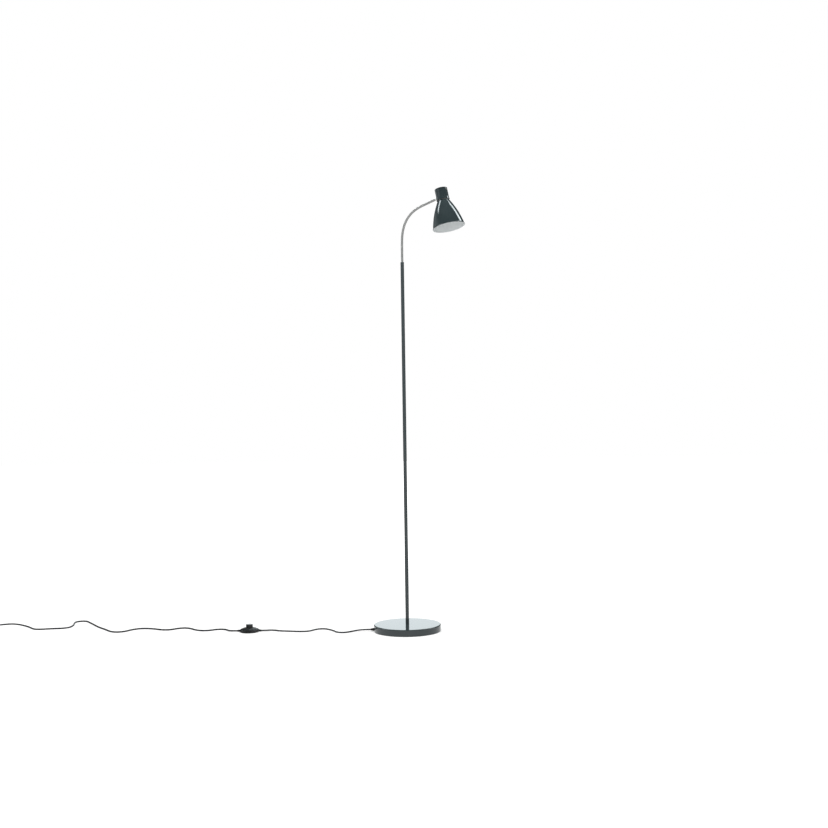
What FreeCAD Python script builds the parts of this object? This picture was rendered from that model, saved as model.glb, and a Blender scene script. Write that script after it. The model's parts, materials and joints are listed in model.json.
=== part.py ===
import FreeCAD, Part
import math
import os

# Gooseneck reading floor lamp. Millimetres, +Z up, origin at the centre of the base's underside.
# +X points to the right of the lamp as it is usually seen, -Y towards the reader.

V = FreeCAD.Vector
UP = V(0, 0, 1)

# ---------------------------------------------------------------- driving sizes
# Base
base_radius = 115.0
base_height = 23.5
cover_wall = 1.5
cover_edge_radius = 3.0
cover_foot = 0.6            # height of the cover's lower edge over the floor
rim_gap = 0.3               # between the cover's wall and what it holds
lead_gap_over = 0.2         # between the lead and the weight
lead_gap_under = 0.6        # between the lead and the bottom plate
weight_pocket_radius = 26.0
weight_pocket_roof = 4.0    # metal left over the pocket
plate_thickness = 2.5
pad_width = 7.0
pad_margin = 17.0           # from the base's rim to the middle of the rubber ring
pad_inset = 1.2
pad_edge = 0.4
base_screw_count = 3
base_screw_ring = 76.0
base_screw_radius = 2.0
base_boss_radius = 6.0
base_screw_sink = 3.2       # depth of the recess over each screw's head
bush_wall = 1.4
bush_lip = 1.4
bush_flange = 2.4
bush_nose = 9.0
clamp_depth = 31.0          # from the base's rim to the middle of the clamp
clamp_screw_y = 9.5
clamp_width = 9.0
clamp_wall = 2.9
clamp_ear = 1.8

# Pole
pole_length = 1240.5
pole_radius = 6.0
pole_wall = 1.0
insert_length = 20.0
insert_gap = 0.05
coupler_length = 44.0
nipple_wall = 1.15
nipple_gap = 0.25           # between the nipple's bore and the lead
thread_gap = 0.05

# Neck: a wound flexible tube, drawn as stretches that meet in ball and cup joints
neck_radius = 4.0
neck_bore = 2.4
neck_length = 298.5         # from the pole's top to the housing's side, along the neck
neck_straight = 52.2        # upright stretch over the pole
neck_bend_zone = 190.0      # stretch that is bent over
neck_total_bend = 76.2      # degrees between the pole and the neck's far end
neck_plane_angle = 40.0     # degrees, neck's plane turned from +X towards -Y
neck_foot_stud = 14.0
neck_stub = 26.0            # last stretch, at the housing
neck_stud_radius = 3.6
lean_count = 2              # sideways joints in the upright stretch
bend_count = 8              # joints in the bent stretch
swing_count = 2             # sideways joints near the head
joint_gap = 0.3
rib_pitch = 2.4
rib_depth = 0.35
bore_flare = 30.0           # degrees, room for the lead in a bent joint
ferrule_radius = 4.6
ferrule_length = 8.0
washer_radius = 5.4
washer_thickness = 0.8

# Lead and cord
cord_radius = 2.6
core_lead_radius = 1.7
core_lead_gap = 0.9
wire_radius = 0.8
wire_start = 4.0            # where the single wires begin, inside the housing
wire_side = 1.0

# Head
housing_radius = 21.2
housing_wall = 1.2
shell_length = 28.0
cap_length = 11.6
entry_height = 14.0         # neck's axis over the shell's lower edge
seam_height = 0.6
lip_length = 4.0
lip_wall = 0.8
flare_height = 9.0
flare_depth = 1.0
vent_count = 3
vent_angle = 70.0
vent_height = 1.8
vent_below_top = 2.2
notch_count = 5
notch_angle = 22.0
notch_height = 1.6
view_side = -50.0           # azimuth in the head's frame of the side turned to the reader
shade_length = 93.0
shade_mouth_radius = 54.3
shade_shoulder_radius = 20.8
shade_wall = 1.0
shade_bulge = 4.1
shade_gap = 1.0             # air gap between housing and shade
shade_rim_radius = 0.9
holder_radius = 12.0
holder_thread_radius = 13.9
holder_flange_radius = 16.5
holder_bore = 9.0
holder_top = 15.4
bridge_height = 20.8
bridge_thickness = 1.2
bridge_width = 11.0
bridge_screw_radius = 2.0
bulb_radius = 22.5
bulb_glass_wall = 0.8
bulb_cap_radius = 6.9
bulb_cap_length = 20.0
bulb_reach = 50.5           # from the holder's mouth to the glass's tip

# Foot switch
switch_x = -545.6
switch_y = 22.7
switch_radius = 34.5
switch_height = 26.0
switch_waist_height = 15.4
switch_waist_radius = 14.5
switch_wall = 2.0
switch_split = 6.2          # height of the seam between the two shells
switch_floor = 1.4
button_radius = 11.8
button_gap = 0.4
grommet_nose = 7.0
grommet_wall = 0.6
switch_lead_gap = 0.2       # between the lead and the switch's floor
switch_seat = 3.4           # height at which the shells' screw bosses meet
switch_screw_ring = 22.0
contact_height = 9.5
contact_side = 13.0

# Plug and put-away coil
coil_x = -1548.0
coil_y = 152.0
coil_turns = 3.0
coil_inner_radius = 26.0
coil_turn_gap = 0.8         # between neighbouring turns
coil_layer_gap = 0.6
tie_thickness = 0.8
tie_width = 6.0
tie_gap = 0.3
coil_lead_in = 28.0         # straight run into the coil
tail_run = 23.0
plug_length = 36.0
plug_width = 35.0
plug_height = 14.4
plug_nose = 20.0
pin_radius = 2.0
pin_length = 19.0
pin_spacing = 19.0

# ---------------------------------------------------------------- worked-out sizes
bush_barrel_radius = cord_radius + bush_wall
bush_collar_radius = bush_barrel_radius + bush_lip
bush_tip_x = -(base_radius + bush_flange + bush_nose)
clamp_x = -(base_radius - clamp_depth)
pad_outer = base_radius - pad_margin + pad_width / 2
cover_inner_radius = base_radius - cover_wall
disc_radius = cover_inner_radius - rim_gap
cover_roof = base_height - cover_wall
pocket_roof = cover_roof - weight_pocket_roof
plate_top = cover_foot + plate_thickness
weight_foot = plate_top + lead_gap_under + 2 * cord_radius + lead_gap_over
bore_height = weight_foot - lead_gap_over - cord_radius      # cord's axis in the base's wall
pole_top = base_height + pole_length
pole_bore = pole_radius - pole_wall
insert_radius = pole_bore - insert_gap
section_length = pole_length / 3
nipple_bore = cord_radius + nipple_gap
nipple_radius = nipple_bore + nipple_wall
nipple_foot = pocket_roof - 4.8
housing_bore = housing_radius - housing_wall
shell_bottom = -entry_height
shell_top = shell_bottom + shell_length
cap_bottom = shell_top + seam_height
cap_top = cap_bottom + cap_length
shade_top = shell_bottom - shade_gap
shade_mouth = shade_top - shade_length
holder_mouth = shade_top - 11.0
cap_screw_height = shell_top + 5.0
holder_hole_floor = bridge_height - 9.0
wire_rise = bridge_height - 2.6      # height at which the wires cross to the holder
cup_radius = neck_radius + joint_gap
cup_rim = math.sqrt(cup_radius ** 2 - neck_radius ** 2)
cup_floor = math.sqrt(cup_radius ** 2 - neck_bore ** 2)
switch_centre = V(switch_x, switch_y, 0)
switch_entry = switch_floor + switch_lead_gap + cord_radius     # height of the cord's axis at the switch
grommet_barrel = cord_radius + grommet_wall
switch_right = (switch_x + switch_radius + grommet_nose, switch_y, switch_entry)
switch_left = (switch_x - switch_radius - grommet_nose, switch_y, switch_entry)
floor_level = cord_radius
coil_straight = 2 * cord_radius
coil_pitch = 2 * cord_radius + coil_turn_gap
coil_low = cord_radius + tie_thickness + 0.05   # the coil lies on its ties
coil_high = coil_low + 2 * cord_radius + coil_layer_gap


# ---------------------------------------------------------------- helpers
def save(node, *solids):
    """Writes one node, after a look at each of its solids."""
    for solid in solids:
        assert solid.isValid() and solid.Volume > 0, node
    shape = solids[0] if len(solids) == 1 else Part.makeCompound(list(solids))
    shape.exportStep("parts/" + node + ".step")
    volume = sum(solid.Volume for solid in solids)
    print("%-22s %2d solids %10.1f mm3" % (node, len(shape.Solids), volume))


def lathe(outline):
    """Turned solid about Z. An item is a corner (r, z), or a point on an arc and the arc's end."""
    corners = outline + [outline[0]]
    here = V(outline[0][0], 0, outline[0][1])
    edges = []
    for item in corners[1:]:
        if isinstance(item[0], tuple):
            middle = V(item[0][0], 0, item[0][1])
            end = V(item[1][0], 0, item[1][1])
            edges.append(Part.Arc(here, middle, end).toShape())
        else:
            end = V(item[0], 0, item[1])
            edges.append(Part.makeLine(here, end))
        here = end
    solid = Part.Face(Part.Wire(edges)).revolve(V(0, 0, 0), UP, 360)
    return solid if solid.Volume > 0 else solid.reversed()


def polar(radius, degrees, z=0.0):
    angle = math.radians(degrees)
    return V(radius * math.cos(angle), radius * math.sin(angle), z)


def rounded(centre_r, centre_z, radius, start, end):
    """Arc item for an outline: its middle point and its end, angles in degrees."""
    middle = math.radians((start + end) / 2)
    last = math.radians(end)
    return ((centre_r + radius * math.cos(middle), centre_z + radius * math.sin(middle)),
            (centre_r + radius * math.cos(last), centre_z + radius * math.sin(last)))


def tube(outer, inner, low, high):
    return lathe([(inner, low), (outer, low), (outer, high), (inner, high)])


def rod(radius, low, high):
    return Part.makeCylinder(radius, high - low, V(0, 0, low))


def box(size, centre_foot):
    """Box of the given size with the middle of its underside at centre_foot."""
    corner = V(centre_foot.x - size.x / 2, centre_foot.y - size.y / 2, centre_foot.z)
    return Part.makeBox(size.x, size.y, size.z, corner)


def placed(shape, origin, direction=UP):
    """Copy whose own Z axis runs along direction from origin."""
    copy = shape.copy()
    copy.Placement = FreeCAD.Placement(origin, FreeCAD.Rotation(UP, direction)).multiply(copy.Placement)
    return copy


def ring_of(shape, count, first=0.0):
    """Copies of a shape turned evenly about Z."""
    copies = []
    for index in range(count):
        copy = shape.copy()
        copy.rotate(V(0, 0, 0), UP, first + index * 360.0 / count)
        copies.append(copy)
    return copies


def sector(inner, outer, low, high, degrees, middle):
    """Block between two radii and two heights, over an angle about Z."""
    start = V(inner, 0, low)
    face = Part.Face(Part.makePolygon([start, V(outer, 0, low), V(outer, 0, high), V(inner, 0, high), start]))
    block = face.revolve(V(0, 0, 0), UP, degrees)
    block.rotate(V(0, 0, 0), UP, middle - degrees / 2)
    return block if block.Volume > 0 else block.reversed()


def screw(head_radius, head_height, shank_radius, shank_length):
    """Pan-head cross-recess screw, head's underside at z 0, shank going down."""
    crown = head_height * 0.45
    body = lathe([(0, -shank_length), (shank_radius * 0.6, -shank_length),
                  (shank_radius, -shank_length + shank_radius), (shank_radius, 0), (head_radius, 0),
                  (head_radius, head_height - crown),
                  rounded(head_radius - crown, head_height - crown, crown, 0, 90), (0, head_height)])
    arm = V(head_radius * 1.1, head_radius * 0.28, head_height)
    for size in (arm, V(arm.y, arm.x, arm.z)):
        body = body.cut(box(size, V(0, 0, head_height * 0.55)))
    return body


def hex_nut(across_flats, bore, height):
    """Nut with its foot at z 0 and bevelled corners."""
    corner = across_flats / math.sqrt(3)
    outline = [polar(corner, 60 * side) for side in range(7)]
    blank = Part.Face(Part.makePolygon(outline)).extrude(V(0, 0, height))
    bevel = corner - across_flats / 2
    envelope = lathe([(bore, 0), (corner - bevel, 0), (corner, bevel * 0.6), (corner, height - bevel * 0.6),
                      (corner - bevel, height), (bore, height)])
    return blank.common(envelope)


# Cords: straight runs joined by tangent arcs, and coils on biarcs
def arc_from(start, tangent, end):
    """Arc from start, leaving along tangent, to end, and the tangent it arrives with."""
    chord = end - start
    along = chord.dot(tangent)
    if chord.cross(tangent).Length < 1e-7:
        return Part.makeLine(start, end)
    reach = chord.dot(chord) / (2 * along)
    apex = start + tangent * reach
    half_turn = tangent.getAngle(chord)
    middle = start + chord * 0.5
    bow = (apex - middle).normalize() * (chord.Length / 2 * math.tan(half_turn / 2))
    return Part.Arc(start, middle + bow, end).toShape()


def biarc(start, start_tangent, end, end_tangent):
    """Two arcs that leave and arrive along the given tangents."""
    chord = end - start
    both = start_tangent + end_tangent
    spread = 2 * (1 - start_tangent.dot(end_tangent))
    across = chord.dot(both)
    reach = (-across + math.sqrt(across ** 2 + spread * chord.dot(chord))) / spread
    meeting = (start + end + (start_tangent - end_tangent) * reach) * 0.5
    first = arc_from(start, start_tangent, meeting)
    last = arc_from(end, end_tangent * -1, meeting)
    last = last.reversed() if last.valueAt(last.FirstParameter).sub(meeting).Length > 1e-4 else last
    return [first, last]


def fillet_wire(points, name):
    """Runs between the points with an arc at each inner point; prints the arcs' radii."""
    corners = [V(*point) for point in points]
    edges = []
    here = corners[0]
    radii = []
    length = 0.0
    for before, corner, after in zip(corners, corners[1:], corners[2:]):
        incoming = (corner - before).normalize()
        outgoing = (after - corner).normalize()
        turn = incoming.getAngle(outgoing)
        setback = 0.45 * min((corner - before).Length, (after - corner).Length)
        radius = setback / math.tan(turn / 2)
        radii.append(radius)
        start = corner - incoming * setback
        end = corner + outgoing * setback
        bow = (corner - (start + end) * 0.5).normalize()
        middle = (start + end) * 0.5 + bow * (radius * (1 - math.cos(turn / 2)))
        edges.append(Part.makeLine(here, start))
        edges.append(Part.Arc(start, middle, end).toShape())
        length += (start - here).Length + radius * turn
        here = end
    edges.append(Part.makeLine(here, corners[-1]))
    length += (corners[-1] - here).Length
    print("%s: length %.1f, arc radii %s" % (name, length, " ".join("%.0f" % radius for radius in radii)))
    return Part.Wire(edges)


def sweep(wire, radius, name=""):
    """Round tube along a wire."""
    first = wire.OrderedEdges[0]
    start = first.valueAt(first.FirstParameter)
    tangent = first.tangentAt(first.FirstParameter)
    if start.sub(wire.OrderedVertexes[0].Point).Length > 1e-6:
        start = first.valueAt(first.LastParameter)
        tangent = first.tangentAt(first.LastParameter) * -1
    section = Part.Wire(Part.Circle(start, tangent, radius).toShape())
    solid = wire.makePipeShell([section], True, False)
    solid = solid.Solids[0] if solid.Solids else Part.Solid(solid)
    if solid.Volume < 0:
        solid = solid.reversed()
    if name:
        ideal = math.pi * radius ** 2 * wire.Length
        print("%s: volume %.1f, section times length %.1f" % (name, solid.Volume, ideal))
    return solid


# ---------------------------------------------------------------- base
def make_base():
    edge = cover_edge_radius
    inner_edge = edge - cover_wall
    hole = nipple_radius + 0.3
    cover = lathe([(cover_inner_radius, cover_foot), (base_radius, cover_foot), (base_radius, base_height - edge),
                   rounded(base_radius - edge, base_height - edge, edge, 0, 90), (hole, base_height),
                   (hole, cover_roof), (cover_inner_radius - inner_edge, cover_roof),
                   rounded(cover_inner_radius - inner_edge, cover_roof - inner_edge, inner_edge, 90, 0)])
    wall_hole = placed(rod(bush_barrel_radius + 0.1, 0, 20), V(-base_radius - 5, 0, bore_height), V(1, 0, 0))
    save("base_cover", cover.cut(wall_hole))

    # room in plate and weight for the bush's inner collar
    notch = box(V(9.0, 2 * bush_collar_radius + 0.6, 30), V(-disc_radius + 2.5, 0, 0))
    tap = base_screw_radius + thread_gap
    weight = lathe([(hole, pocket_roof), (weight_pocket_radius, pocket_roof), (weight_pocket_radius, weight_foot),
                    (disc_radius, weight_foot), (disc_radius, cover_roof - 2), (disc_radius - 2, cover_roof),
                    (hole, cover_roof)])
    tapped = placed(rod(tap, 0, 7), V(base_screw_ring, 0, weight_foot))
    weight = weight.cut(Part.makeCompound(ring_of(tapped, base_screw_count)))
    save("base_weight", weight.cut(notch))

    plate = rod(disc_radius, cover_foot, plate_top)
    boss = placed(rod(base_boss_radius, 0, weight_foot - plate_top + 0.5), V(base_screw_ring, 0, plate_top - 0.5))
    plate = plate.fuse(ring_of(boss, base_screw_count))
    through = placed(rod(base_screw_radius + 0.2, 0, 20), V(base_screw_ring, 0, 0))
    sunk = placed(rod(4.4, 0, base_screw_sink + cover_foot), V(base_screw_ring, 0, 0))
    recess = tube(pad_outer + 0.1, pad_outer - pad_width - 0.1, 0, cover_foot + pad_inset)
    clamp_holes = [placed(rod(1.5, cover_foot + 0.5, 9), V(clamp_x, side * clamp_screw_y, 0)) for side in (-1, 1)]
    plate = plate.cut(ring_of(through, base_screw_count) + ring_of(sunk, base_screw_count))
    plate = plate.cut([recess] + clamp_holes)
    save("base_plate", plate.cut(notch))

    pad_inner = pad_outer - pad_width
    pad = lathe([(pad_inner + pad_edge, 0), (pad_outer - pad_edge, 0), (pad_outer, pad_edge),
                 (pad_outer, cover_foot + pad_inset), (pad_inner, cover_foot + pad_inset), (pad_inner, pad_edge)])
    save("base_pad_ring", pad)

    fastener = screw(3.8, 2.4, base_screw_radius, 9.5)
    fastener = placed(fastener, V(base_screw_ring, 0, cover_foot + base_screw_sink), V(0, 0, -1))
    save("base_screws", *ring_of(fastener, base_screw_count))

    nipple_top = base_height + insert_length - 4
    save("base_nipple", tube(nipple_radius, nipple_bore, nipple_foot, nipple_top))
    save("base_washer", tube(9.0, nipple_radius + 0.3, pocket_roof - 1.2, pocket_roof))
    nut = hex_nut(13.0, nipple_radius + thread_gap, 3.0)
    save("base_nut", placed(nut, V(0, 0, pocket_roof - 4.2)))


def make_cord_fixings():
    bore = cord_radius + 0.05
    inside = base_radius - cover_inner_radius
    # along the bush's own axis: 0 at the outer face of the cover's wall, outwards positive
    bush = lathe([(bore, -inside - 2.0), (bush_collar_radius - 0.6, -inside - 2.0),
                  (bush_collar_radius, -inside - 1.4), (bush_collar_radius, -inside - 0.4),
                  (bush_barrel_radius, -inside - 0.4), (bush_barrel_radius, 0.7),
                  (bush_collar_radius, 0.7), (bush_collar_radius, bush_flange - 0.8),
                  rounded(bush_collar_radius - 0.8, bush_flange - 0.8, 0.8, 0, 90),
                  (bush_barrel_radius + 0.2, bush_flange),
                  (bore + 0.5, bush_flange + bush_nose), (bore, bush_flange + bush_nose)])
    save("cord_bush", placed(bush, V(-base_radius, 0, bore_height), V(-1, 0, 0)))

    ears = box(V(clamp_width, 2 * clamp_screw_y + 6, clamp_ear), V(clamp_x, 0, plate_top))
    arch = box(V(clamp_width, 2 * (cord_radius + clamp_wall), weight_foot - plate_top - 0.4), V(clamp_x, 0, plate_top))
    tunnel = placed(rod(bore, -10, 10), V(clamp_x, 0, bore_height), V(1, 0, 0))
    saddle = ears.fuse(arch).cut(tunnel)
    holes = [placed(rod(1.7, 0, 10), V(clamp_x, side * clamp_screw_y, plate_top - 1)) for side in (-1, 1)]
    save("cord_clamp", saddle.cut(holes))
    clamp_screw = screw(2.8, 1.8, 1.4, 3.4)
    screw_foot = plate_top + clamp_ear
    screws = [placed(clamp_screw, V(clamp_x, side * clamp_screw_y, screw_foot)) for side in (-1, 1)]
    save("cord_clamp_screws", *screws)

    lead_top = pole_top - neck_foot_stud
    turn_in = nipple_foot - bore_height
    corner = V(0, 0, bore_height)
    start = V(bush_tip_x, 0, bore_height)
    bend_start = corner - V(turn_in, 0, 0)
    bend_end = V(0, 0, bore_height + turn_in)
    bow = V(-turn_in, 0, turn_in) + V(1, 0, -1) * (turn_in * math.sqrt(0.5))
    path = Part.Wire([Part.makeLine(start, bend_start),
                      Part.Arc(bend_start, corner + bow, bend_end).toShape(),
                      Part.makeLine(bend_end, V(0, 0, lead_top))])
    save("lead_in_stand", sweep(path, cord_radius, "lead_in_stand"))


# ---------------------------------------------------------------- pole
def make_pole():
    names = ["pole_lower_tube", "pole_middle_tube", "pole_upper_tube"]
    for index, name in enumerate(names):
        low = base_height + index * section_length
        save(name, tube(pole_radius, pole_bore, low, low + section_length))
    foot = base_height + insert_length
    tap = nipple_radius + thread_gap
    save("pole_foot_insert", tube(insert_radius, tap, base_height, foot))
    lead_room = cord_radius + 0.4
    half = coupler_length / 2
    coupler = lathe([(lead_room, -half), (insert_radius - 0.6, -half), (insert_radius, -half + 0.6),
                     (insert_radius, half - 0.6), (insert_radius - 0.6, half), (lead_room, half)])
    seams = [base_height + count * section_length for count in (1, 2)]
    save("pole_couplers", *[placed(coupler, V(0, 0, seam)) for seam in seams])
    save("pole_top_insert", tube(insert_radius, neck_stud_radius + thread_gap, pole_top - insert_length, pole_top))


# ---------------------------------------------------------------- neck
def neck_joints():
    """Distance along the neck, rest bend in degrees and kind of each joint."""
    joints = []
    pitch = neck_straight / (lean_count + 0.5)
    for index in range(lean_count):
        joints.append((pitch * (index + 1), 0.0, "lean"))
    pitch = neck_bend_zone / bend_count
    shares = [math.sin(math.pi * (index + 0.5) / bend_count) for index in range(bend_count)]
    for index, share in enumerate(shares):
        bend = neck_total_bend * share / sum(shares)
        joints.append((neck_straight + pitch * (index + 0.5), bend, "bend"))
    last_bend = joints[-1][0]
    pitch = (neck_length - neck_stub - last_bend) / swing_count
    for index in range(swing_count):
        joints.append((last_bend + pitch * (index + 1), 0.0, "swing"))
    return joints


plane_axis = polar(1, -neck_plane_angle)      # level direction in which the neck reaches
side_axis = UP.cross(plane_axis)              # level direction across the neck's plane


def neck_direction(degrees):
    angle = math.radians(degrees)
    return plane_axis * math.sin(angle) + UP * math.cos(angle)


def ribs(low, high):
    """Corners of the wound surface between two heights."""
    count = int((high - low) / rib_pitch)
    start = high - count * rib_pitch
    corners = [(neck_radius, start)]
    for index in range(count):
        foot = start + index * rib_pitch
        corners.append((neck_radius - rib_depth, foot + rib_pitch / 2))
        corners.append((neck_radius, foot + rib_pitch))
    return corners


def cup_outline():
    """Hollow lower end of a stretch, from the bore out to the rim, round the joint's centre."""
    middle = (math.atan2(cup_floor, neck_bore) + math.atan2(cup_rim, neck_radius)) / 2
    return [(neck_bore, cup_floor),
            ((cup_radius * math.cos(middle), cup_radius * math.sin(middle)), (neck_radius, cup_rim))]


def ball_outline(height):
    """Round upper end of a stretch, from the side over the ball and down the flared bore."""
    slope = math.tan(math.radians(bore_flare))
    # where the flare meets the ball: (bore + slope z)^2 + z^2 = radius^2
    a = 1 + slope ** 2
    b = neck_bore * slope
    c = neck_bore ** 2 - neck_radius ** 2
    top = (-b + math.sqrt(b * b - a * c)) / a
    middle = math.asin(top / neck_radius) / 2
    return [((neck_radius * math.cos(middle), height + neck_radius * math.sin(middle)),
             (neck_bore + slope * top, height + top)),
            (neck_bore, height)]


def make_neck():
    joints = neck_joints()
    foot_length = joints[0][0]
    foot = lathe([(neck_bore, -neck_foot_stud), (neck_stud_radius, -neck_foot_stud), (neck_stud_radius, 0)]
                 + ribs(0.2, foot_length) + ball_outline(foot_length))
    lead = rod(core_lead_radius, -neck_foot_stud, foot_length - core_lead_gap)
    origin = V(0, 0, pole_top)
    save("neck_foot", placed(foot, origin), placed(lead, origin))

    angle = 0.0
    here = origin + UP * foot_length
    for index, (distance, bend, kind) in enumerate(joints):
        hinge = {"lean": plane_axis, "bend": side_axis, "swing": neck_direction(angle).cross(side_axis)}[kind]
        print("joint %02d %s at %.6f %.6f %.6f axis %.8f %.8f %.8f rest %.4f"
              % (index + 1, kind, here.x, here.y, here.z, hinge.x, hinge.y, hinge.z, bend))
        angle += bend
        direction = neck_direction(angle)
        if index + 1 < len(joints):
            length = joints[index + 1][0] - distance
            link = lathe(cup_outline() + ribs(cup_rim, length) + ball_outline(length))
            lead = rod(core_lead_radius, core_lead_gap, length - core_lead_gap)
            save("neck_link_%02d" % (index + 1), placed(link, here, direction), placed(lead, here, direction))
            here = here + direction * length
    return here, angle


# ---------------------------------------------------------------- head
def head_placement(stub_start, angle):
    """Frame of the head: origin where the neck's axis meets the housing's, X along the neck's end."""
    x_axis = neck_direction(angle)
    origin = stub_start + x_axis * (neck_stub + housing_radius)
    rotation = FreeCAD.Rotation(x_axis, side_axis, x_axis.cross(side_axis), "ZXY")
    return FreeCAD.Placement(origin, rotation)


def make_head(frame):
    def keep(node, *solids):
        copies = []
        for solid in solids:
            copy = solid.copy()
            copy.Placement = frame.multiply(copy.Placement)
            copies.append(copy)
        save(node, *copies)

    # neck's end: wound stretch, bright ferrule, threaded stud; its own axis is the head's X
    stud_end = neck_stub + housing_wall + 5.0
    ribbed = neck_stub - ferrule_length
    ferrule = lathe(cup_outline() + ribs(cup_rim, ribbed) + [
        (ferrule_radius - 0.4, ribbed), (ferrule_radius, ribbed + 0.4), (ferrule_radius, neck_stub - 0.1),
        (nipple_radius, neck_stub - 0.1), (nipple_radius, stud_end), (neck_bore, stud_end)])
    lead = rod(core_lead_radius, core_lead_gap, neck_stub + wire_start)
    stub_origin = V(-housing_radius - neck_stub, 0, 0)
    x_way = V(1, 0, 0)
    keep("neck_ferrule", placed(ferrule, stub_origin, x_way), placed(lead, stub_origin, x_way))
    seat = -math.sqrt(housing_bore ** 2 - washer_radius ** 2) + 0.05
    washer = tube(washer_radius, nipple_radius + 0.15, 0, washer_thickness)
    keep("neck_washer", placed(washer, V(seat, 0, 0), x_way))
    keep("neck_nut", placed(hex_nut(10.0, nipple_radius + thread_gap, 2.8), V(seat + washer_thickness, 0, 0), x_way))

    make_housing(keep)
    make_holder(keep)
    make_shade(keep)
    make_bulb(keep)


def make_housing(keep):
    flare = housing_radius + flare_depth
    shell = lathe([(housing_bore + flare_depth - 0.1, shell_bottom), (flare, shell_bottom),
                   (flare, shell_bottom + 0.6), (housing_radius, shell_bottom + flare_height),
                   (housing_radius, shell_top - 0.3), (housing_radius - 0.3, shell_top), (housing_bore, shell_top),
                   (housing_bore, shell_bottom + flare_height)])
    entry = placed(rod(nipple_radius + 0.1, 0, 10), V(-housing_radius - 5, 0, 0), V(1, 0, 0))
    notches = [sector(housing_bore - 3, flare + 3, shell_bottom - 1, shell_bottom + notch_height, notch_angle,
                      view_side - 40 + index * 360.0 / notch_count) for index in range(notch_count)]
    keep("housing_shell", shell.cut([entry] + notches))

    edge = 1.6
    lip_outer = housing_bore - 0.1
    cap = lathe([(lip_outer - lip_wall, shell_top - lip_length), (lip_outer, shell_top - lip_length),
                 (lip_outer, cap_bottom - 0.4), (housing_radius - 0.7, cap_bottom - 0.4),
                 (housing_radius - 0.7, cap_bottom), (housing_radius, cap_bottom), (housing_radius, cap_top - edge),
                 rounded(housing_radius - edge, cap_top - edge, edge, 0, 90), (0, cap_top),
                 (0, cap_top - housing_wall), (housing_bore, cap_top - housing_wall), (housing_bore, cap_bottom + 0.8),
                 (lip_outer - lip_wall, cap_bottom + 0.8)])
    vent_top = cap_top - vent_below_top
    vents = [sector(housing_bore - 2, housing_radius + 2, vent_top - vent_height, vent_top, vent_angle,
                    view_side + index * 360.0 / vent_count) for index in range(vent_count)]
    across = housing_radius + 3
    holes = [placed(rod(1.6, -across, across), V(0, 0, cap_screw_height), V(1, 0, 0))]
    keep("housing_cap", cap.cut(vents + holes))

    ear_outer = housing_bore - 0.3
    ear_inner = ear_outer - bridge_thickness
    ear_foot = cap_screw_height - 3.5
    strip = box(V(2 * ear_outer, bridge_width, bridge_thickness), V(0, 0, bridge_height))
    ears = [box(V(bridge_thickness, bridge_width, bridge_height - ear_foot),
                V(side * (ear_outer - bridge_thickness / 2), 0, ear_foot)) for side in (-1, 1)]
    bridge = strip.fuse(ears).common(rod(ear_outer, ear_foot - 1, cap_top))
    bridge = bridge.cut([placed(rod(1.55, -across, across), V(0, 0, cap_screw_height), V(1, 0, 0)),
                         rod(bridge_screw_radius + 0.2, bridge_height - 1, bridge_height + 3)])
    keep("holder_bridge", bridge)
    fixing = screw(2.6, 1.3, 1.5, housing_radius - ear_inner + 2.5)
    screws = []
    for side in (-1, 1):
        screws.append(placed(fixing, V(side * (housing_radius + 0.05), 0, cap_screw_height), V(side, 0, 0)))
    keep("housing_screws", *screws)
    keep("holder_screw", placed(screw(3.4, 2.2, bridge_screw_radius, bridge_thickness + bridge_height - holder_hole_floor - 0.6), V(0, 0, bridge_height + bridge_thickness)))


def make_holder(keep):
    flange_top = shade_top + 3.0
    shoulder = shade_top
    tap = bridge_screw_radius + thread_gap
    holder = lathe([(tap, bridge_height - 6), (tap, bridge_height), (6.5, bridge_height), (6.5, holder_top),
                    (holder_radius - 1, holder_top), (holder_radius, holder_top - 1), (holder_radius, flange_top),
                    (holder_flange_radius, flange_top), (holder_flange_radius, shoulder),
                    (holder_thread_radius, shoulder), (holder_thread_radius, holder_mouth),
                    (holder_bore, holder_mouth), (holder_bore, 2.0), (0, 2.0), (0, holder_hole_floor),
                    (tap, holder_hole_floor)])
    terminal = [placed(rod(wire_radius + 0.1, 0, 6), V(-9.2, side * wire_side, holder_top - 3)) for side in (-1, 1)]
    keep("lampholder", holder.cut(terminal))
    thread = tube(holder_bore - 0.1, bulb_cap_radius + 0.3, holder_mouth + 2, -3.5)
    tongue = box(V(2 * holder_bore - 3, 4, 0.6), V(0, 0, 1.3))
    pip = rod(1.8, -1.9, 1.3)
    keep("holder_contacts", thread, tongue.fuse(pip))

    start_x = -housing_radius + wire_start
    rise_x = -14.2
    wires = []
    for side in (-1, 1):
        y = side * wire_side
        points = [(start_x, y, 0), (rise_x, y, 0), (rise_x, y, wire_rise), (-9.2, y, wire_rise), (-9.2, y, holder_top - 2.5)]
        wires.append(sweep(tight_wire(points, 1.8), wire_radius))
    keep("holder_wires", *wires)


def tight_wire(points, radius):
    """Runs between the points with equal small arcs, for stiff single wires."""
    corners = [V(*point) for point in points]
    edges = []
    here = corners[0]
    for before, corner, after in zip(corners, corners[1:], corners[2:]):
        incoming = (corner - before).normalize()
        outgoing = (after - corner).normalize()
        turn = incoming.getAngle(outgoing)
        setback = radius * math.tan(turn / 2)
        start = corner - incoming * setback
        end = corner + outgoing * setback
        middle = (start + end) * 0.5
        bow = (corner - middle).normalize() * (radius * (1 - math.cos(turn / 2)))
        edges.append(Part.makeLine(here, start))
        edges.append(Part.Arc(start, middle + bow, end).toShape())
        here = end
    edges.append(Part.makeLine(here, corners[-1]))
    return Part.Wire(edges)


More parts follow.
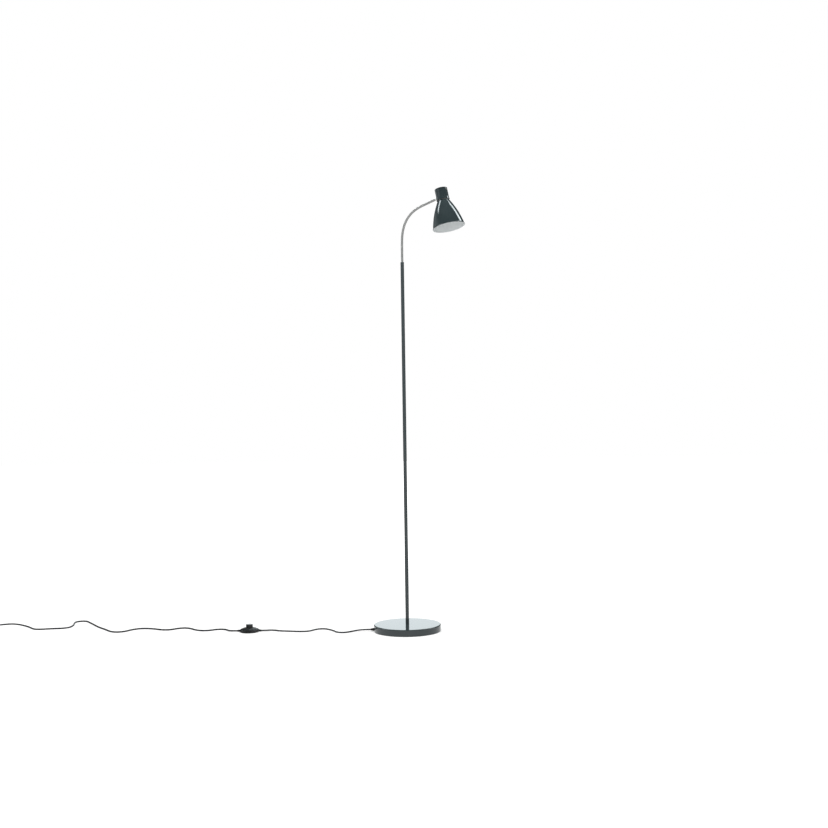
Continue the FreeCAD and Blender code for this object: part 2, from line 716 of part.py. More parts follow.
def make_shade(keep):
    hole = holder_thread_radius + 0.3
    shoulder_edge = 2.0
    top_r = shade_shoulder_radius
    top_z = shade_top - shoulder_edge
    mouth_r = shade_mouth_radius - shade_rim_radius
    # unit vectors down the bell's side and square to it, outwards
    run = V(mouth_r - top_r, 0, shade_mouth - top_z)
    out = V(-run.z, 0, run.x).normalize()
    middle = V((mouth_r + top_r) / 2, 0, (shade_mouth + top_z) / 2)
    bulge = middle + out * shade_bulge
    inner = middle + out * (shade_bulge - shade_wall)
    inner_top = (top_r - shade_wall, top_z - shade_wall * 0.6)
    rim = shade_rim_radius
    bell = lathe([(hole, shade_top), (top_r - shoulder_edge, shade_top),
                  rounded(top_r - shoulder_edge, top_z, shoulder_edge, 90, 0),
                  ((bulge.x, bulge.z), (mouth_r, shade_mouth + 2 * rim)),
                  ((mouth_r + rim, shade_mouth + rim), (mouth_r, shade_mouth)),
                  (mouth_r - shade_wall, shade_mouth + 0.5),
                  ((inner.x, inner.z), inner_top),
                  (top_r - shoulder_edge, shade_top - shade_wall), (hole, shade_top - shade_wall)])
    keep("shade", bell)
    ring_top = shade_top - shade_wall
    ring = lathe([(holder_thread_radius + thread_gap, ring_top), (17.6, ring_top), (17.6, ring_top - 4.4),
                  (17.0, ring_top - 5), (holder_thread_radius + thread_gap, ring_top - 5)])
    grips = ring_of(placed(rod(0.9, ring_top - 6, ring_top + 1), V(18.0, 0, 0)), 18)
    keep("shade_ring", ring.cut(grips))


def make_bulb(keep):
    cap_foot = holder_mouth - 1.0
    cap_head = cap_foot + bulb_cap_length
    turns = 5
    pitch = 2.8
    outline = [(0, cap_foot), (bulb_cap_radius - 0.1, cap_foot), (bulb_cap_radius - 0.1, cap_foot + 2)]
    for index in range(turns):
        foot = cap_foot + 2 + index * pitch
        crest = ((bulb_cap_radius, foot + pitch / 2), (bulb_cap_radius - 0.45, foot + pitch))
        outline.append(crest)
    outline += [(2.6, cap_head - 1.0), (2.4, cap_head), (0, cap_head)]
    keep("bulb_cap", lathe(outline))
    tip = holder_mouth - bulb_reach
    centre = tip + bulb_radius
    neck_r = bulb_cap_radius + 0.6
    neck_z = cap_foot
    start = math.degrees(math.atan2(math.sqrt(bulb_radius ** 2 - 11.5 ** 2), 11.5))
    join_z = centre + bulb_radius * math.sin(math.radians(start))
    wall = bulb_glass_wall
    inner = bulb_radius - wall
    inner_join = ((11.5 - wall), centre + math.sqrt(inner ** 2 - (11.5 - wall) ** 2))
    glass = lathe([(neck_r - wall, neck_z), (neck_r, neck_z), (11.5, join_z),
                   rounded(0, centre, bulb_radius, start, -90), (0, tip + wall),
                   ((inner * math.cos(math.radians((start - 90) / 2)),
                     centre + inner * math.sin(math.radians((start - 90) / 2))), inner_join)])
    keep("bulb_glass", glass)


# ---------------------------------------------------------------- foot switch
def make_switch():
    centre = switch_centre
    wall = switch_wall
    low = lathe([(0, 0), (switch_radius - 3.0, 0), (switch_radius, 3.0), (switch_radius, switch_split - 0.3),
                 (switch_radius - wall, switch_split - 0.3), (switch_radius - wall, 3.6),
                 (switch_radius - 3.9, switch_floor), (0, switch_floor)])
    gates = []
    for side in (-1, 1):
        outside = V(side * (switch_radius + 5), 0, switch_entry)
        gates.append(placed(rod(grommet_barrel + 0.1, 0, 14), outside, V(-side, 0, 0)))
    bosses = ring_of(placed(rod(4.4, 0.5, switch_seat), V(switch_screw_ring, 0, 0)), 2, 90)
    through = ring_of(placed(rod(1.7, -1, 5), V(switch_screw_ring, 0, 0)), 2, 90)
    sunk = ring_of(placed(rod(3.2, -1, 1.9), V(switch_screw_ring, 0, 0)), 2, 90)
    save("switch_base", placed(low.fuse(bosses).cut(gates + through + sunk), centre))

    hole = button_radius + button_gap
    rim = switch_radius - 0.2
    waist = switch_waist_radius
    top = switch_waist_height
    knee = ((rim + waist) / 2 + 0.6, (switch_split + top) / 2 + 1.5)
    cover = lathe([(rim - wall, switch_split), (rim, switch_split), (rim, switch_split + 0.8),
                   (knee, (waist, top)), (hole, top), (hole, top - wall), (waist - 0.6, top - wall),
                   ((knee[0] - wall * 0.6, knee[1] - wall), (rim - wall, switch_split + 0.2))])
    pillar_top = switch_split + 5.5
    under_cover = lathe([(0, switch_seat), (rim, switch_seat), (rim, switch_split + 0.8), (knee, (waist, top)), (0, top)])
    pillars = ring_of(placed(rod(3.4, switch_seat, top), V(switch_screw_ring, 0, 0)), 2, 90)
    pillars = [pillar.common(under_cover) for pillar in pillars]
    bores = ring_of(placed(rod(1.45, 0, pillar_top - 1.2), V(switch_screw_ring, 0, 0)), 2, 90)
    save("switch_cover", placed(cover.fuse(pillars).cut(bores + gates), centre))

    fastener = screw(2.8, 1.3, 1.4, 7.6)
    fastener = placed(fastener, V(switch_screw_ring, 0, 1.9), V(0, 0, -1))
    save("switch_screws", *[placed(copy, centre) for copy in ring_of(fastener, 2, 90)])

    flange_foot = top - wall - 2.0
    edge = 1.6
    roof = switch_height - 2.0
    button = lathe([(button_radius - 1.6, flange_foot), (button_radius + 1.6, flange_foot),
                    (button_radius + 1.6, flange_foot + 1.6), (button_radius, flange_foot + 1.6),
                    (button_radius, switch_height - edge),
                    rounded(button_radius - edge, switch_height - edge, edge, 0, 90),
                    (0, switch_height - 0.5), (0, roof), (button_radius - 1.6, roof)])
    save("switch_button", placed(button, centre))

    block = box(V(contact_side, contact_side, contact_height - switch_floor), V(0, 0, switch_floor))
    save("switch_contacts", placed(block, centre))
    spring = helix_tube(5.0, 0.45, contact_height + 0.7, roof - 0.7, 5)
    save("switch_spring", placed(spring, centre))

    bore = cord_radius + 0.05
    nose = lathe([(bore, -5.0), (grommet_barrel, -5.0), (grommet_barrel, 0.4), (grommet_barrel + 0.9, 0.4),
                  (grommet_barrel + 0.7, 2.2), (bore + 0.5, grommet_nose), (bore, grommet_nose)])
    grommets = []
    leads = []
    for side in (-1, 1):
        way = V(side, 0, 0)
        mouth = centre + V(side * switch_radius, 0, switch_entry)
        grommets.append(placed(nose, mouth, way))
        leads.append(placed(rod(cord_radius, contact_side / 2 + 0.3 - switch_radius, grommet_nose), mouth, way))
    save("switch_grommets", *grommets)
    save("switch_leads", *leads)


def helix_tube(radius, wire, low, high, turns):
    """Open coil spring of round wire, on quarter-turn biarcs."""
    def point(turn):
        share = turn / turns
        return polar(radius, 360 * turn, low + (high - low) * share)
    return turned_tube(point, turns, wire)


def turned_tube(point, turns, radius, name="", straight_ends=0.0):
    """Tube along a path given by turn number, made of biarcs of a quarter turn each."""
    tiny = 1e-4
    steps = int(round(turns * 4))
    places = []
    for index in range(steps + 1):
        turn = index / 4.0
        tangent = (point(turn + tiny) - point(turn - tiny)).normalize()
        places.append((point(turn), tangent))
    edges = []
    if straight_ends:
        start, tangent = places[0]
        edges.append(Part.makeLine(start - tangent * straight_ends, start))
    for (start, start_tangent), (end, end_tangent) in zip(places, places[1:]):
        edges += biarc(start, start_tangent, end, end_tangent)
    if straight_ends:
        end, tangent = places[-1]
        edges.append(Part.makeLine(end, end + tangent * straight_ends))
    return sweep(Part.Wire(edges), radius, name)


# ---------------------------------------------------------------- cord, coil and plug
to_switch_points = [
    (bush_tip_x, 0, bore_height), (-158, 0, bore_height), (-190, -14, 3.6), (-214, -31, floor_level),
    (-242, -23, floor_level), (-253, 6, floor_level), (-277, 40, floor_level), (-298, 47, floor_level),
    (-318, 38, floor_level), (-338, 2, floor_level), (-373, 1, floor_level), (-401, 9, floor_level),
    (-424, 14, floor_level), (-442, 19, floor_level), (-456, 29, 3), (-473, 30, 3.6),
    (-489, switch_y, switch_entry), switch_right]
to_coil_points = [
    switch_left, (-602, switch_y, switch_entry), (-619, 32, 3.6), (-631, 56, 3),
    (-648, 65, floor_level), (-667, 62, floor_level), (-686, 46, floor_level), (-710, 41, floor_level),
    (-736, 55, floor_level), (-769, 99, floor_level), (-803, 97, floor_level), (-828, 67, floor_level),
    (-856, 67, floor_level), (-894, 94, floor_level), (-935, 103, floor_level), (-964, 83, floor_level),
    (-984, 45, floor_level), (-1009, 37, floor_level), (-1033, 50, floor_level),
    (-1062, 94, floor_level), (-1090, 130, floor_level), (-1113, 166, floor_level),
    (-1134, 203, floor_level), (-1153, 233, floor_level), (-1167, 258, floor_level),
    (-1182, 265, floor_level), (-1198, 261, floor_level), (-1208, 248, floor_level),
    (-1206, 222, floor_level), (-1200, 196, floor_level), (-1198, 170, floor_level),
    (-1199, 150, floor_level), (-1207, 135, floor_level), (-1222, 126, floor_level),
    (-1246, 123, floor_level), (-1268, 119, floor_level), (-1292, 113, floor_level),
    (-1320, 116, floor_level), (-1347, 158, floor_level), (-1384, 199, floor_level),
    (-1417, 225, floor_level), (-1445, 228, floor_level), (-1476, 208, floor_level)]


def coil_point(turn):
    """Centre line of the coil: in along the floor, up a layer where it reverses, and out again."""
    half = coil_turns / 2
    away = turn - half
    near = abs(away) < 0.25
    steps = 2 * away * away + 0.125 if near else abs(away)
    radius = coil_inner_radius + coil_pitch * steps
    climb = min(max((away + 0.25) / 0.5, 0.0), 1.0)
    height = coil_low + (coil_high - coil_low) * climb * climb * (3 - 2 * climb)
    flat = polar(radius, 90 + 360 * turn)
    return V(coil_x + flat.x, coil_y + flat.y, height)


def coil_gap():
    """Least gap between the coil's surface and itself, on points a few degrees apart."""
    steps = int(coil_turns * 120)
    places = [coil_point(index / 120.0) for index in range(steps + 1)]
    least = 1e9
    for index in range(0, steps, 2):
        for other in range(index + 60, steps, 2):
            least = min(least, (places[index] - places[other]).Length)
    return least - 2 * cord_radius


def coil_way(turn):
    """Unit vector along the coil."""
    tiny = 1e-4
    return (coil_point(turn + tiny) - coil_point(turn - tiny)).normalize()


def make_cords():
    wire = fillet_wire(to_switch_points, "cord_to_switch")
    save("cord_to_switch", sweep(wire, cord_radius, "cord_to_switch"))
    start = coil_point(0) - coil_way(0) * coil_straight
    before = start - coil_way(0) * coil_lead_in
    wire = fillet_wire(to_coil_points + [tuple(before), tuple(start)], "cord_to_coil")
    save("cord_to_coil", sweep(wire, cord_radius, "cord_to_coil"))
    coil = turned_tube(coil_point, coil_turns, cord_radius, "cord_coil", coil_straight)
    print("cord_coil: least gap to itself %.2f" % coil_gap())
    save("cord_coil", coil)
    make_ties()


def make_ties():
    """Two flat bands round the coil's turns, on its left and right."""
    ties = []
    for turn in (0.25, 0.75):
        reach = [coil_inner_radius + coil_pitch * abs(turn + lap - coil_turns / 2) for lap in range(3)]
        inner = min(reach) - cord_radius - tie_gap
        outer = max(reach) + cord_radius + tie_gap
        roof = coil_high + cord_radius + tie_gap
        side = 1 if turn > 0.5 else -1
        middle = V(coil_x + side * (inner + outer) / 2, coil_y, 0)
        window = box(V(outer - inner, tie_width + 2, roof - tie_thickness), middle + V(0, 0, tie_thickness))
        band = box(V(outer - inner + 2 * tie_thickness, tie_width, roof + tie_thickness), middle)
        along = [edge for edge in band.Edges if edge.BoundBox.YLength > tie_width / 2]
        ties.append(band.makeFillet(1.5 * tie_thickness, along).cut(window))
    save("coil_ties", *ties)


def make_tail_and_plug():
    start = coil_point(coil_turns) + coil_way(coil_turns) * coil_straight
    after = start + coil_way(coil_turns) * tail_run
    axis_height = plug_height / 2
    end = V(after.x - tail_run, after.y, axis_height)
    wire = fillet_wire([tuple(start), tuple(after), tuple(end)], "cord_tail")
    save("cord_tail", sweep(wire, cord_radius, "cord_tail"))

    nose = lathe([(0, 0), (cord_radius + 0.6, 0), (5.2, plug_nose), (0, plug_nose)])
    nose = placed(nose, end, V(-1, 0, 0))
    front = V(end.x - plug_nose - plug_length / 2, end.y, 0)
    body = box(V(plug_length, plug_width, plug_height), front)
    upright = [edge for edge in body.Edges if edge.BoundBox.ZLength > plug_height / 2]
    body = body.makeFillet(9.0, [edge for edge in upright if edge.BoundBox.XMax > front.x])
    body = body.makeFillet(2.5, [edge for edge in body.Edges if edge.BoundBox.ZLength < 0.01])
    pins = []
    for side in (-1, 1):
        face = V(front.x - plug_length / 2, end.y + side * pin_spacing / 2, axis_height)
        pin = lathe([(0, -6), (pin_radius, -6), (pin_radius, pin_length - 1.6),
                     rounded(pin_radius - 1.6, pin_length - 1.6, 1.6, 0, 90), (0, pin_length)])
        pins.append(placed(pin, face, V(-1, 0, 0)))
    save("plug_body", body.fuse(nose).cut(pins))
    save("plug_pins", *pins)


# ---------------------------------------------------------------- build
os.makedirs("parts", exist_ok=True)
make_base()
make_cord_fixings()
make_pole()
last_joint, end_angle = make_neck()
make_head(head_placement(last_joint, end_angle))
make_switch()
make_cords()
make_tail_and_plug()
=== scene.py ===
# %% [markdown]
# # A gooseneck reading floor lamp
# This lesson dresses a finished lamp model: a round weighted base, a thin lacquered pole, a wound metal
# neck, a bell shade, and a cord with a foot switch. The construction is already there as a frame of
# fixed parts, so every step below makes one surface or one finish and puts it where the frame says.
#
# The frame comes first.

# %% Load the frame
import json
import math

import bmesh
import bpy
import numpy as np
from mathutils import Matrix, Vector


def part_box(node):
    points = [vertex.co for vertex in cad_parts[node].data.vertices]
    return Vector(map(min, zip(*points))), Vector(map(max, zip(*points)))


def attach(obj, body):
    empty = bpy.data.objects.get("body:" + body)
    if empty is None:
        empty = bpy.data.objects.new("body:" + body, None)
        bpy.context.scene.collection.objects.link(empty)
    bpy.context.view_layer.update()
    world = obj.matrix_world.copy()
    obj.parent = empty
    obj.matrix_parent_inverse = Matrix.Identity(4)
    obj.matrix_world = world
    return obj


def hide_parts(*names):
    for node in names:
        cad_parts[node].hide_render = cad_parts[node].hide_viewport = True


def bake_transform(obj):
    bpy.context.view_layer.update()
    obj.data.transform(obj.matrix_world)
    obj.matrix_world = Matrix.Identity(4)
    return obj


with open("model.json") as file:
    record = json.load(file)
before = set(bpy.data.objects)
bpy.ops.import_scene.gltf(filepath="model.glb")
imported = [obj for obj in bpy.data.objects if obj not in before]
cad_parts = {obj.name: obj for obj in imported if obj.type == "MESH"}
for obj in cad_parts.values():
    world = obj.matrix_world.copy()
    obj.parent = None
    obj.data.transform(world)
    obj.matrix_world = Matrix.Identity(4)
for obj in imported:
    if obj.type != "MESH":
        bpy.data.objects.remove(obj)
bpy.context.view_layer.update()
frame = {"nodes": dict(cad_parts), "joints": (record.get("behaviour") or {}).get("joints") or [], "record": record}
joints = {joint["name"]: joint for joint in frame["joints"]}
mm = 0.001

# %% [markdown]
# ## The camera
# The photograph was taken from about four metres away, a little over half the lamp's height, with a
# long lens. A camera could be placed by eye, but here its distance, height, tilt and roll are sizes
# measured once, so that the lamp falls on the same pixels as in the photograph.

# %% Camera
camera_place = (0.033, -4.2, 0.7879)
camera_pitch = 0.01045          # radians, downwards
camera_roll = -0.0143           # radians
focal_pixels = 1225.2
frame_pixels = 828
sensor_mm = 36.0

camera = bpy.data.objects.new("camera", bpy.data.cameras.new("camera"))
camera.data.sensor_width = sensor_mm
camera.data.lens = focal_pixels * sensor_mm / frame_pixels
forward = np.array([0.0, math.cos(camera_pitch), -math.sin(camera_pitch)])
level_right = np.array([1.0, 0.0, 0.0])
level_up = np.cross(level_right, forward)
right = math.cos(camera_roll) * level_right + math.sin(camera_roll) * level_up
up = np.cross(right, forward)
placement = Matrix.Identity(4)
for row in range(3):
    placement[row][0], placement[row][1] = right[row], up[row]
    placement[row][2], placement[row][3] = -forward[row], camera_place[row]
camera.matrix_world = placement
bpy.context.scene.collection.objects.link(camera)
bpy.context.scene.camera = camera
bpy.context.scene.view_settings.view_transform = "Standard"
print("lens %.1f mm" % camera.data.lens)

# %% [markdown]
# ## Colours and nodes
# Colours are written as the sRGB values that one reads off a screen, and turned to linear light by one
# function. Another small function adds a node to a material with its settings and its links, which
# keeps each finish below down to a few lines that can be read as a recipe.

# %% Helpers for finishes
def linear(hex_colour, alpha=1.0):
    """sRGB hex to linear: c / 12.92 below 0.04045, and ((c + 0.055) / 1.055) ^ 2.4 above it."""
    channels = np.array([int(hex_colour[i:i + 2], 16) / 255 for i in (1, 3, 5)])
    low, high = channels / 12.92, ((channels + 0.055) / 1.055) ** 2.4
    return (*np.where(channels <= 0.04045, low, high).tolist(), alpha)


def add(tree, kind, inputs=None, **settings):
    """Adds one node. An input is a plain value or another node's output."""
    made = tree.nodes.new(kind)
    for name, value in settings.items():
        setattr(made, name, value)
    for name, value in (inputs or {}).items():
        if isinstance(value, bpy.types.NodeSocket):
            tree.links.new(value, made.inputs[name])
        else:
            made.inputs[name].default_value = value
    return made


def new_material(name, **constants):
    """A material with one Principled shader, whose constant sockets are set here."""
    made = bpy.data.materials.new(name)
    made.use_nodes = True
    tree = made.node_tree
    tree.nodes.clear()
    shader = add(tree, "ShaderNodeBsdfPrincipled",
                 {key.replace("_", " "): value for key, value in constants.items()})
    add(tree, "ShaderNodeOutputMaterial", {"Surface": shader.outputs["BSDF"]})
    return made, tree, shader


def per_metre(size_mm):
    """A texture's scale for features of this size, as Object coordinates are in metres."""
    return 1.0 / (size_mm * mm)


def mottle(tree, shader, size_mm, colours, roughness):
    """Slow change of colour and roughness over a surface, from one noise."""
    place = add(tree, "ShaderNodeTexCoord").outputs["Object"]
    noise = add(tree, "ShaderNodeTexNoise", {
        "Vector": place, "Scale": per_metre(size_mm), "Detail": 5.0, "Roughness": 0.6})
    span = {"Value": noise.outputs["Fac"], "From Min": 0.3, "From Max": 0.7}
    ramp = add(tree, "ShaderNodeMapRange", span)
    mix = add(tree, "ShaderNodeMix", {
        "Factor": ramp.outputs[0], "A": linear(colours[0]), "B": linear(colours[1])}, data_type="RGBA")
    rough = add(tree, "ShaderNodeMapRange", {**span, "To Min": roughness[0], "To Max": roughness[1]})
    tree.links.new(mix.outputs["Result"], shader.inputs["Base Color"])
    tree.links.new(rough.outputs[0], shader.inputs["Roughness"])
    return place


def grain(tree, shader, place, size_mm, depth_mm, detail=2.0):
    """Bump from a fine noise; its height is a real depth in millimetres."""
    noise = add(tree, "ShaderNodeTexNoise", {
        "Vector": place, "Scale": per_metre(size_mm), "Detail": detail})
    bump = add(tree, "ShaderNodeBump", {
        "Height": noise.outputs["Fac"], "Distance": depth_mm * mm, "Strength": 1.0})
    tree.links.new(bump.outputs["Normal"], shader.inputs["Normal"])


# %% [markdown]
# ## Black PVC: the cord's sheath
# Mains cord has an extruded PVC sheath. It is black, a little waxy, and smooth along its length, with a
# faint unevenness where the cores twist underneath. Extruded plastic has an IOR near 1.5 and a
# roughness near 0.4, and a shallow bump a few millimetres long stands for the cores.

# %% Finish: extruded PVC
pvc, tree, shader = new_material("extruded_pvc_sheath", IOR=1.5)
place = mottle(tree, shader, 9.0, ("#161718", "#1e1f21"), (0.34, 0.46))
grain(tree, shader, place, 4.0, 0.05)
print(pvc.name)

# %% [markdown]
# ## The cord
# A cord is a fixed length of something flexible lying on the floor. It could be simulated, but its path
# is in the photograph, so it is a smooth curve through a given route: a spline of order 3 whose
# control points are the route's corners. The first stretch runs from the base's bush to the foot
# switch. The second runs from the switch to the plug, and its last stretch, out of sight, is wound up
# in a small coil. A corner without a height lies on the floor.

# %% Cord routes
cord_radius = 2.6
floor_level = cord_radius
bore_height = 6.3
bush_tip = -126.4
switch_x, switch_y = -545.6, 22.7
switch_entry = 4.2
switch_reach = 41.5             # from the switch's middle to its grommets' tips


def route(*corners):
    """Corners as (x, y, height), with the floor's own height where none is given."""
    return [corner if len(corner) == 3 else (*corner, floor_level) for corner in corners]


to_switch_points = route(
    (bush_tip, 0, bore_height), (-158, 0, bore_height), (-190, -14, 3.6), (-214, -31), (-242, -23),
    (-253, 6), (-277, 40), (-298, 47), (-318, 38), (-338, 2), (-373, 1), (-401, 9), (-424, 14),
    (-442, 19), (-456, 29, 3), (-473, 30, 3.6), (-489, switch_y, switch_entry),
    (switch_x + switch_reach, switch_y, switch_entry))
to_coil_points = route(
    (switch_x - switch_reach, switch_y, switch_entry), (-602, switch_y, switch_entry),
    (-619, 32, 3.6), (-631, 56, 3), (-648, 65), (-667, 62), (-686, 46), (-710, 41), (-736, 55),
    (-769, 99), (-803, 97), (-828, 67), (-856, 67), (-894, 94), (-935, 103), (-964, 83), (-984, 45),
    (-1009, 37), (-1033, 50), (-1062, 94), (-1090, 130), (-1113, 166), (-1134, 203), (-1153, 233),
    (-1167, 258), (-1182, 265), (-1198, 261), (-1208, 248), (-1206, 222), (-1200, 196),
    (-1198, 170), (-1199, 150), (-1207, 135), (-1222, 126), (-1246, 123), (-1268, 119),
    (-1292, 113), (-1320, 116), (-1347, 158), (-1384, 199), (-1417, 225), (-1445, 228), (-1476, 208))
print("route corners", len(to_switch_points) + len(to_coil_points))

# %% [markdown]
# The coil's turns are more points of the same spline. They follow a formula: the radius shrinks turn by
# turn to the middle of the coil and grows again, and at the reversal the cord climbs onto its first layer.

# %% Coil formula
coil_x, coil_y = -1548.0, 152.0
coil_turns = 3.0
coil_inner_radius = 26.0
coil_pitch = 6.0
coil_low = 3.45
coil_high = 9.25
coil_straight = 5.2
coil_lead_in = 28.0
tail_run = 23.0
plug_axis_height = 7.2
points_per_turn = 16


def coil_points(turn):
    """Radius = inner + pitch x turns from the middle (rounded off there); height = smooth step up."""
    away = turn - coil_turns / 2
    steps = np.where(abs(away) < 0.25, 2 * away * away + 0.125, abs(away))
    radius = coil_inner_radius + coil_pitch * steps
    climb = np.clip((away + 0.25) / 0.5, 0, 1)
    height = coil_low + (coil_high - coil_low) * climb * climb * (3 - 2 * climb)
    angle = np.radians(90 + 360 * turn)
    return np.stack([coil_x + radius * np.cos(angle), coil_y + radius * np.sin(angle), height], -1)


def coil_way(turn):
    """Unit vector along the coil, from two near points."""
    step = coil_points(np.array(turn + 1e-4)) - coil_points(np.array(turn - 1e-4))
    return step / np.linalg.norm(step)


turns = np.linspace(0, coil_turns, int(coil_turns * points_per_turn) + 1)
coil_start = coil_points(turns[0]) - coil_way(0) * coil_straight
coil_before = coil_start - coil_way(0) * coil_lead_in
tail_start = coil_points(turns[-1]) + coil_way(coil_turns) * coil_straight
tail_corner = tail_start + coil_way(coil_turns) * tail_run
tail_end = np.array([tail_corner[0] - tail_run, tail_corner[1], plug_axis_height])
# a spline cuts inside its corners, so the turns' points stand out by the same share
spread = 1 / (0.75 + 0.25 * math.cos(2 * math.pi / points_per_turn))
wound = coil_points(turns)
wound[:, 0] = coil_x + (wound[:, 0] - coil_x) * spread
wound[:, 1] = coil_y + (wound[:, 1] - coil_y) * spread
to_plug_points = to_coil_points + [tuple(coil_before), tuple(coil_start)] + [tuple(p) for p in wound]
to_plug_points += [tuple(tail_start), tuple(tail_corner), tuple(tail_end)]
print("points from switch to plug", len(to_plug_points))


# %% [markdown]
# A curve object keeps the cord as a line with a section. Its length is measured on the bare line,
# without the section.

# %% Cord curves
def cord_curve(name, points, radius):
    """An open spline of order 3 with these control points, with a round section."""
    curve = bpy.data.curves.new(name, "CURVE")
    curve.dimensions = "3D"
    spline = curve.splines.new("NURBS")
    spline.points.add(len(points) - 1)
    corners = np.array(points, float) * mm
    spline.points.foreach_set("co", np.column_stack([corners, np.ones(len(corners))]).ravel())
    spline.order_u = 3
    spline.use_endpoint_u = True
    spline.resolution_u = 8
    curve.bevel_depth = radius * mm
    curve.bevel_resolution = 6
    curve.use_fill_caps = True
    made = bpy.data.objects.new(name, curve)
    bpy.context.scene.collection.objects.link(made)
    curve.materials.append(pvc)
    return made


def spline_length(made):
    """Length of a curve's own line, from its evaluated points without the section."""
    bare = bpy.data.objects.new("bare", made.data.copy())
    bare.data.bevel_depth = 0
    mesh = bpy.data.meshes.new_from_object(bare)
    line = np.zeros(len(mesh.vertices) * 3)
    mesh.vertices.foreach_get("co", line)
    line = line.reshape(-1, 3)
    bpy.data.meshes.remove(mesh)
    bpy.data.curves.remove(bare.data)
    return float(np.linalg.norm(np.diff(line, axis=0), axis=1).sum())


switch_cord = cord_curve("switch_cord", to_switch_points, cord_radius)
plug_cord = cord_curve("plug_cord", to_plug_points, cord_radius)
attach(switch_cord, "stand")
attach(plug_cord, "stand")
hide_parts("cord_to_switch")
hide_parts("cord_to_coil", "cord_coil", "cord_tail")
switch_cord_length = spline_length(switch_cord)
plug_cord_length = spline_length(plug_cord)
print("cords %.3f m and %.3f m" % (switch_cord_length, plug_cord_length))

# %% [markdown]
# ## Surfaces
# Every new piece is a surface worked out with whole arrays. A profile, softened at its corners, is
# turned about an axis, or a section is carried along a line. Real edges are never knife sharp: even a
# 0.3 mm radius catches a line of light, so each profile corner carries its own radius.

# %% Helpers for surfaces
support = 0.15                  # distance of a supporting point from an arc's end


def soften(corners, steps=6):
    """Rounds a profile's corners. A corner is (r, z) or (r, z, radius): the arc touches both sides at
    radius x tan(turn / 2) from the corner, and is sampled evenly. Long straight runs get a point close
    to each end, so that smooth shading stays flat between the arcs."""
    points = np.array([corner[:2] for corner in corners], float)
    radii = np.array([corner[2] if len(corner) > 2 else 0.0 for corner in corners])
    outline = []
    for index, (here, radius) in enumerate(zip(points, radii)):
        if radius == 0.0 or index in (0, len(points) - 1):
            outline.append(here[None])
            continue
        back, ahead = points[index - 1] - here, points[index + 1] - here
        room = min(np.linalg.norm(back), np.linalg.norm(ahead)) * 0.49
        back, ahead = back / np.linalg.norm(back), ahead / np.linalg.norm(ahead)
        half = math.acos(float(np.clip(back @ ahead, -1, 1))) / 2
        if half > math.radians(89.5):
            outline.append(here[None])
            continue
        reach = min(radius / math.tan(half), room)
        radius = reach * math.tan(half)
        middle = (back + ahead) / np.linalg.norm(back + ahead)
        centre = here + middle * radius / math.sin(half)
        start, end = here + back * reach - centre, here + ahead * reach - centre
        share = np.linspace(0, 1, steps + 1)[:, None]
        arc = start * (1 - share) + end * share
        outline.append(centre + arc / np.linalg.norm(arc, axis=1, keepdims=True) * radius)
    line = np.concatenate(outline)
    run = np.diff(line, axis=0)
    length = np.linalg.norm(run, axis=1, keepdims=True)
    inset = run / np.maximum(length, 1e-9) * support
    trio = np.stack([line[:-1], line[:-1] + inset, line[1:] - inset], 1)
    chosen = np.repeat(length > 5 * support, 3, 1)
    chosen[:, 0] = True
    return np.concatenate([trio[chosen], line[-1:]])


def curve_through(start, middle, end, count):
    """A circular arc through three points, as count points after the start."""
    a, b, c = (np.array(p, float) for p in (start, middle, end))
    matrix = 2 * np.array([b - a, c - a])
    centre = np.linalg.solve(matrix, np.array([b @ b - a @ a, c @ c - a @ a]))
    radius = np.linalg.norm(a - centre)
    first, last = (math.atan2(*(p - centre)[::-1]) for p in (a, c))
    last += 2 * math.pi * round((math.atan2(*(b - centre)[::-1]) - last) / (2 * math.pi))
    last = first + math.remainder(last - first, 2 * math.pi)
    angles = np.linspace(first, last, count + 1)[1:]
    return centre + radius * np.column_stack([np.cos(angles), np.sin(angles)])


def surface(name, points, finish, close_rows=False, close_columns=True, keep=None, materials=None):
    """A mesh from a grid of points: quads join each point to the next row and column, poles are merged,
    and the faces are turned outwards. keep marks the quads that stay."""
    rows, columns = points.shape[:2]
    index = np.arange(rows * columns).reshape(rows, columns)
    below = index if close_rows else index[:-1]
    above = np.roll(index, -1, 0) if close_rows else index[1:]
    if close_columns:
        quads = np.stack([below, np.roll(below, -1, 1), np.roll(above, -1, 1), above], -1)
    else:
        quads = np.stack([below[:, :-1], below[:, 1:], above[:, 1:], above[:, :-1]], -1)
    choice = np.ones(quads.shape[:2], bool) if keep is None else keep
    slots = np.zeros(quads.shape[:2], int) if materials is None else materials
    mesh = bpy.data.meshes.new(name)
    mesh.from_pydata((points.reshape(-1, 3) * mm).tolist(), [], quads[choice].tolist())
    mesh.polygons.foreach_set("use_smooth", np.ones(len(mesh.polygons), bool))
    mesh.polygons.foreach_set("material_index", slots[choice].astype(np.int32))
    work = bmesh.new()
    work.from_mesh(mesh)
    bmesh.ops.remove_doubles(work, verts=work.verts, dist=1e-7)
    bmesh.ops.recalc_face_normals(work, faces=work.faces)
    work.to_mesh(mesh)
    work.free()
    for one in finish if isinstance(finish, (list, tuple)) else [finish]:
        mesh.materials.append(one)
    made = bpy.data.objects.new(name, mesh)
    bpy.context.scene.collection.objects.link(made)
    return made


def turned(profile, segments=96, place=None, first=0.0):
    """Grid of a profile turned about Z: (r cos a, r sin a, z), then moved by a 4x4 placement."""
    angles = first + np.linspace(0, 2 * math.pi, segments, endpoint=False)
    r, z = profile[:, 0][:, None], profile[:, 1][:, None]
    grid = np.stack([r * np.cos(angles), r * np.sin(angles), z + 0 * angles], -1)
    return grid if place is None else moved(grid, place)


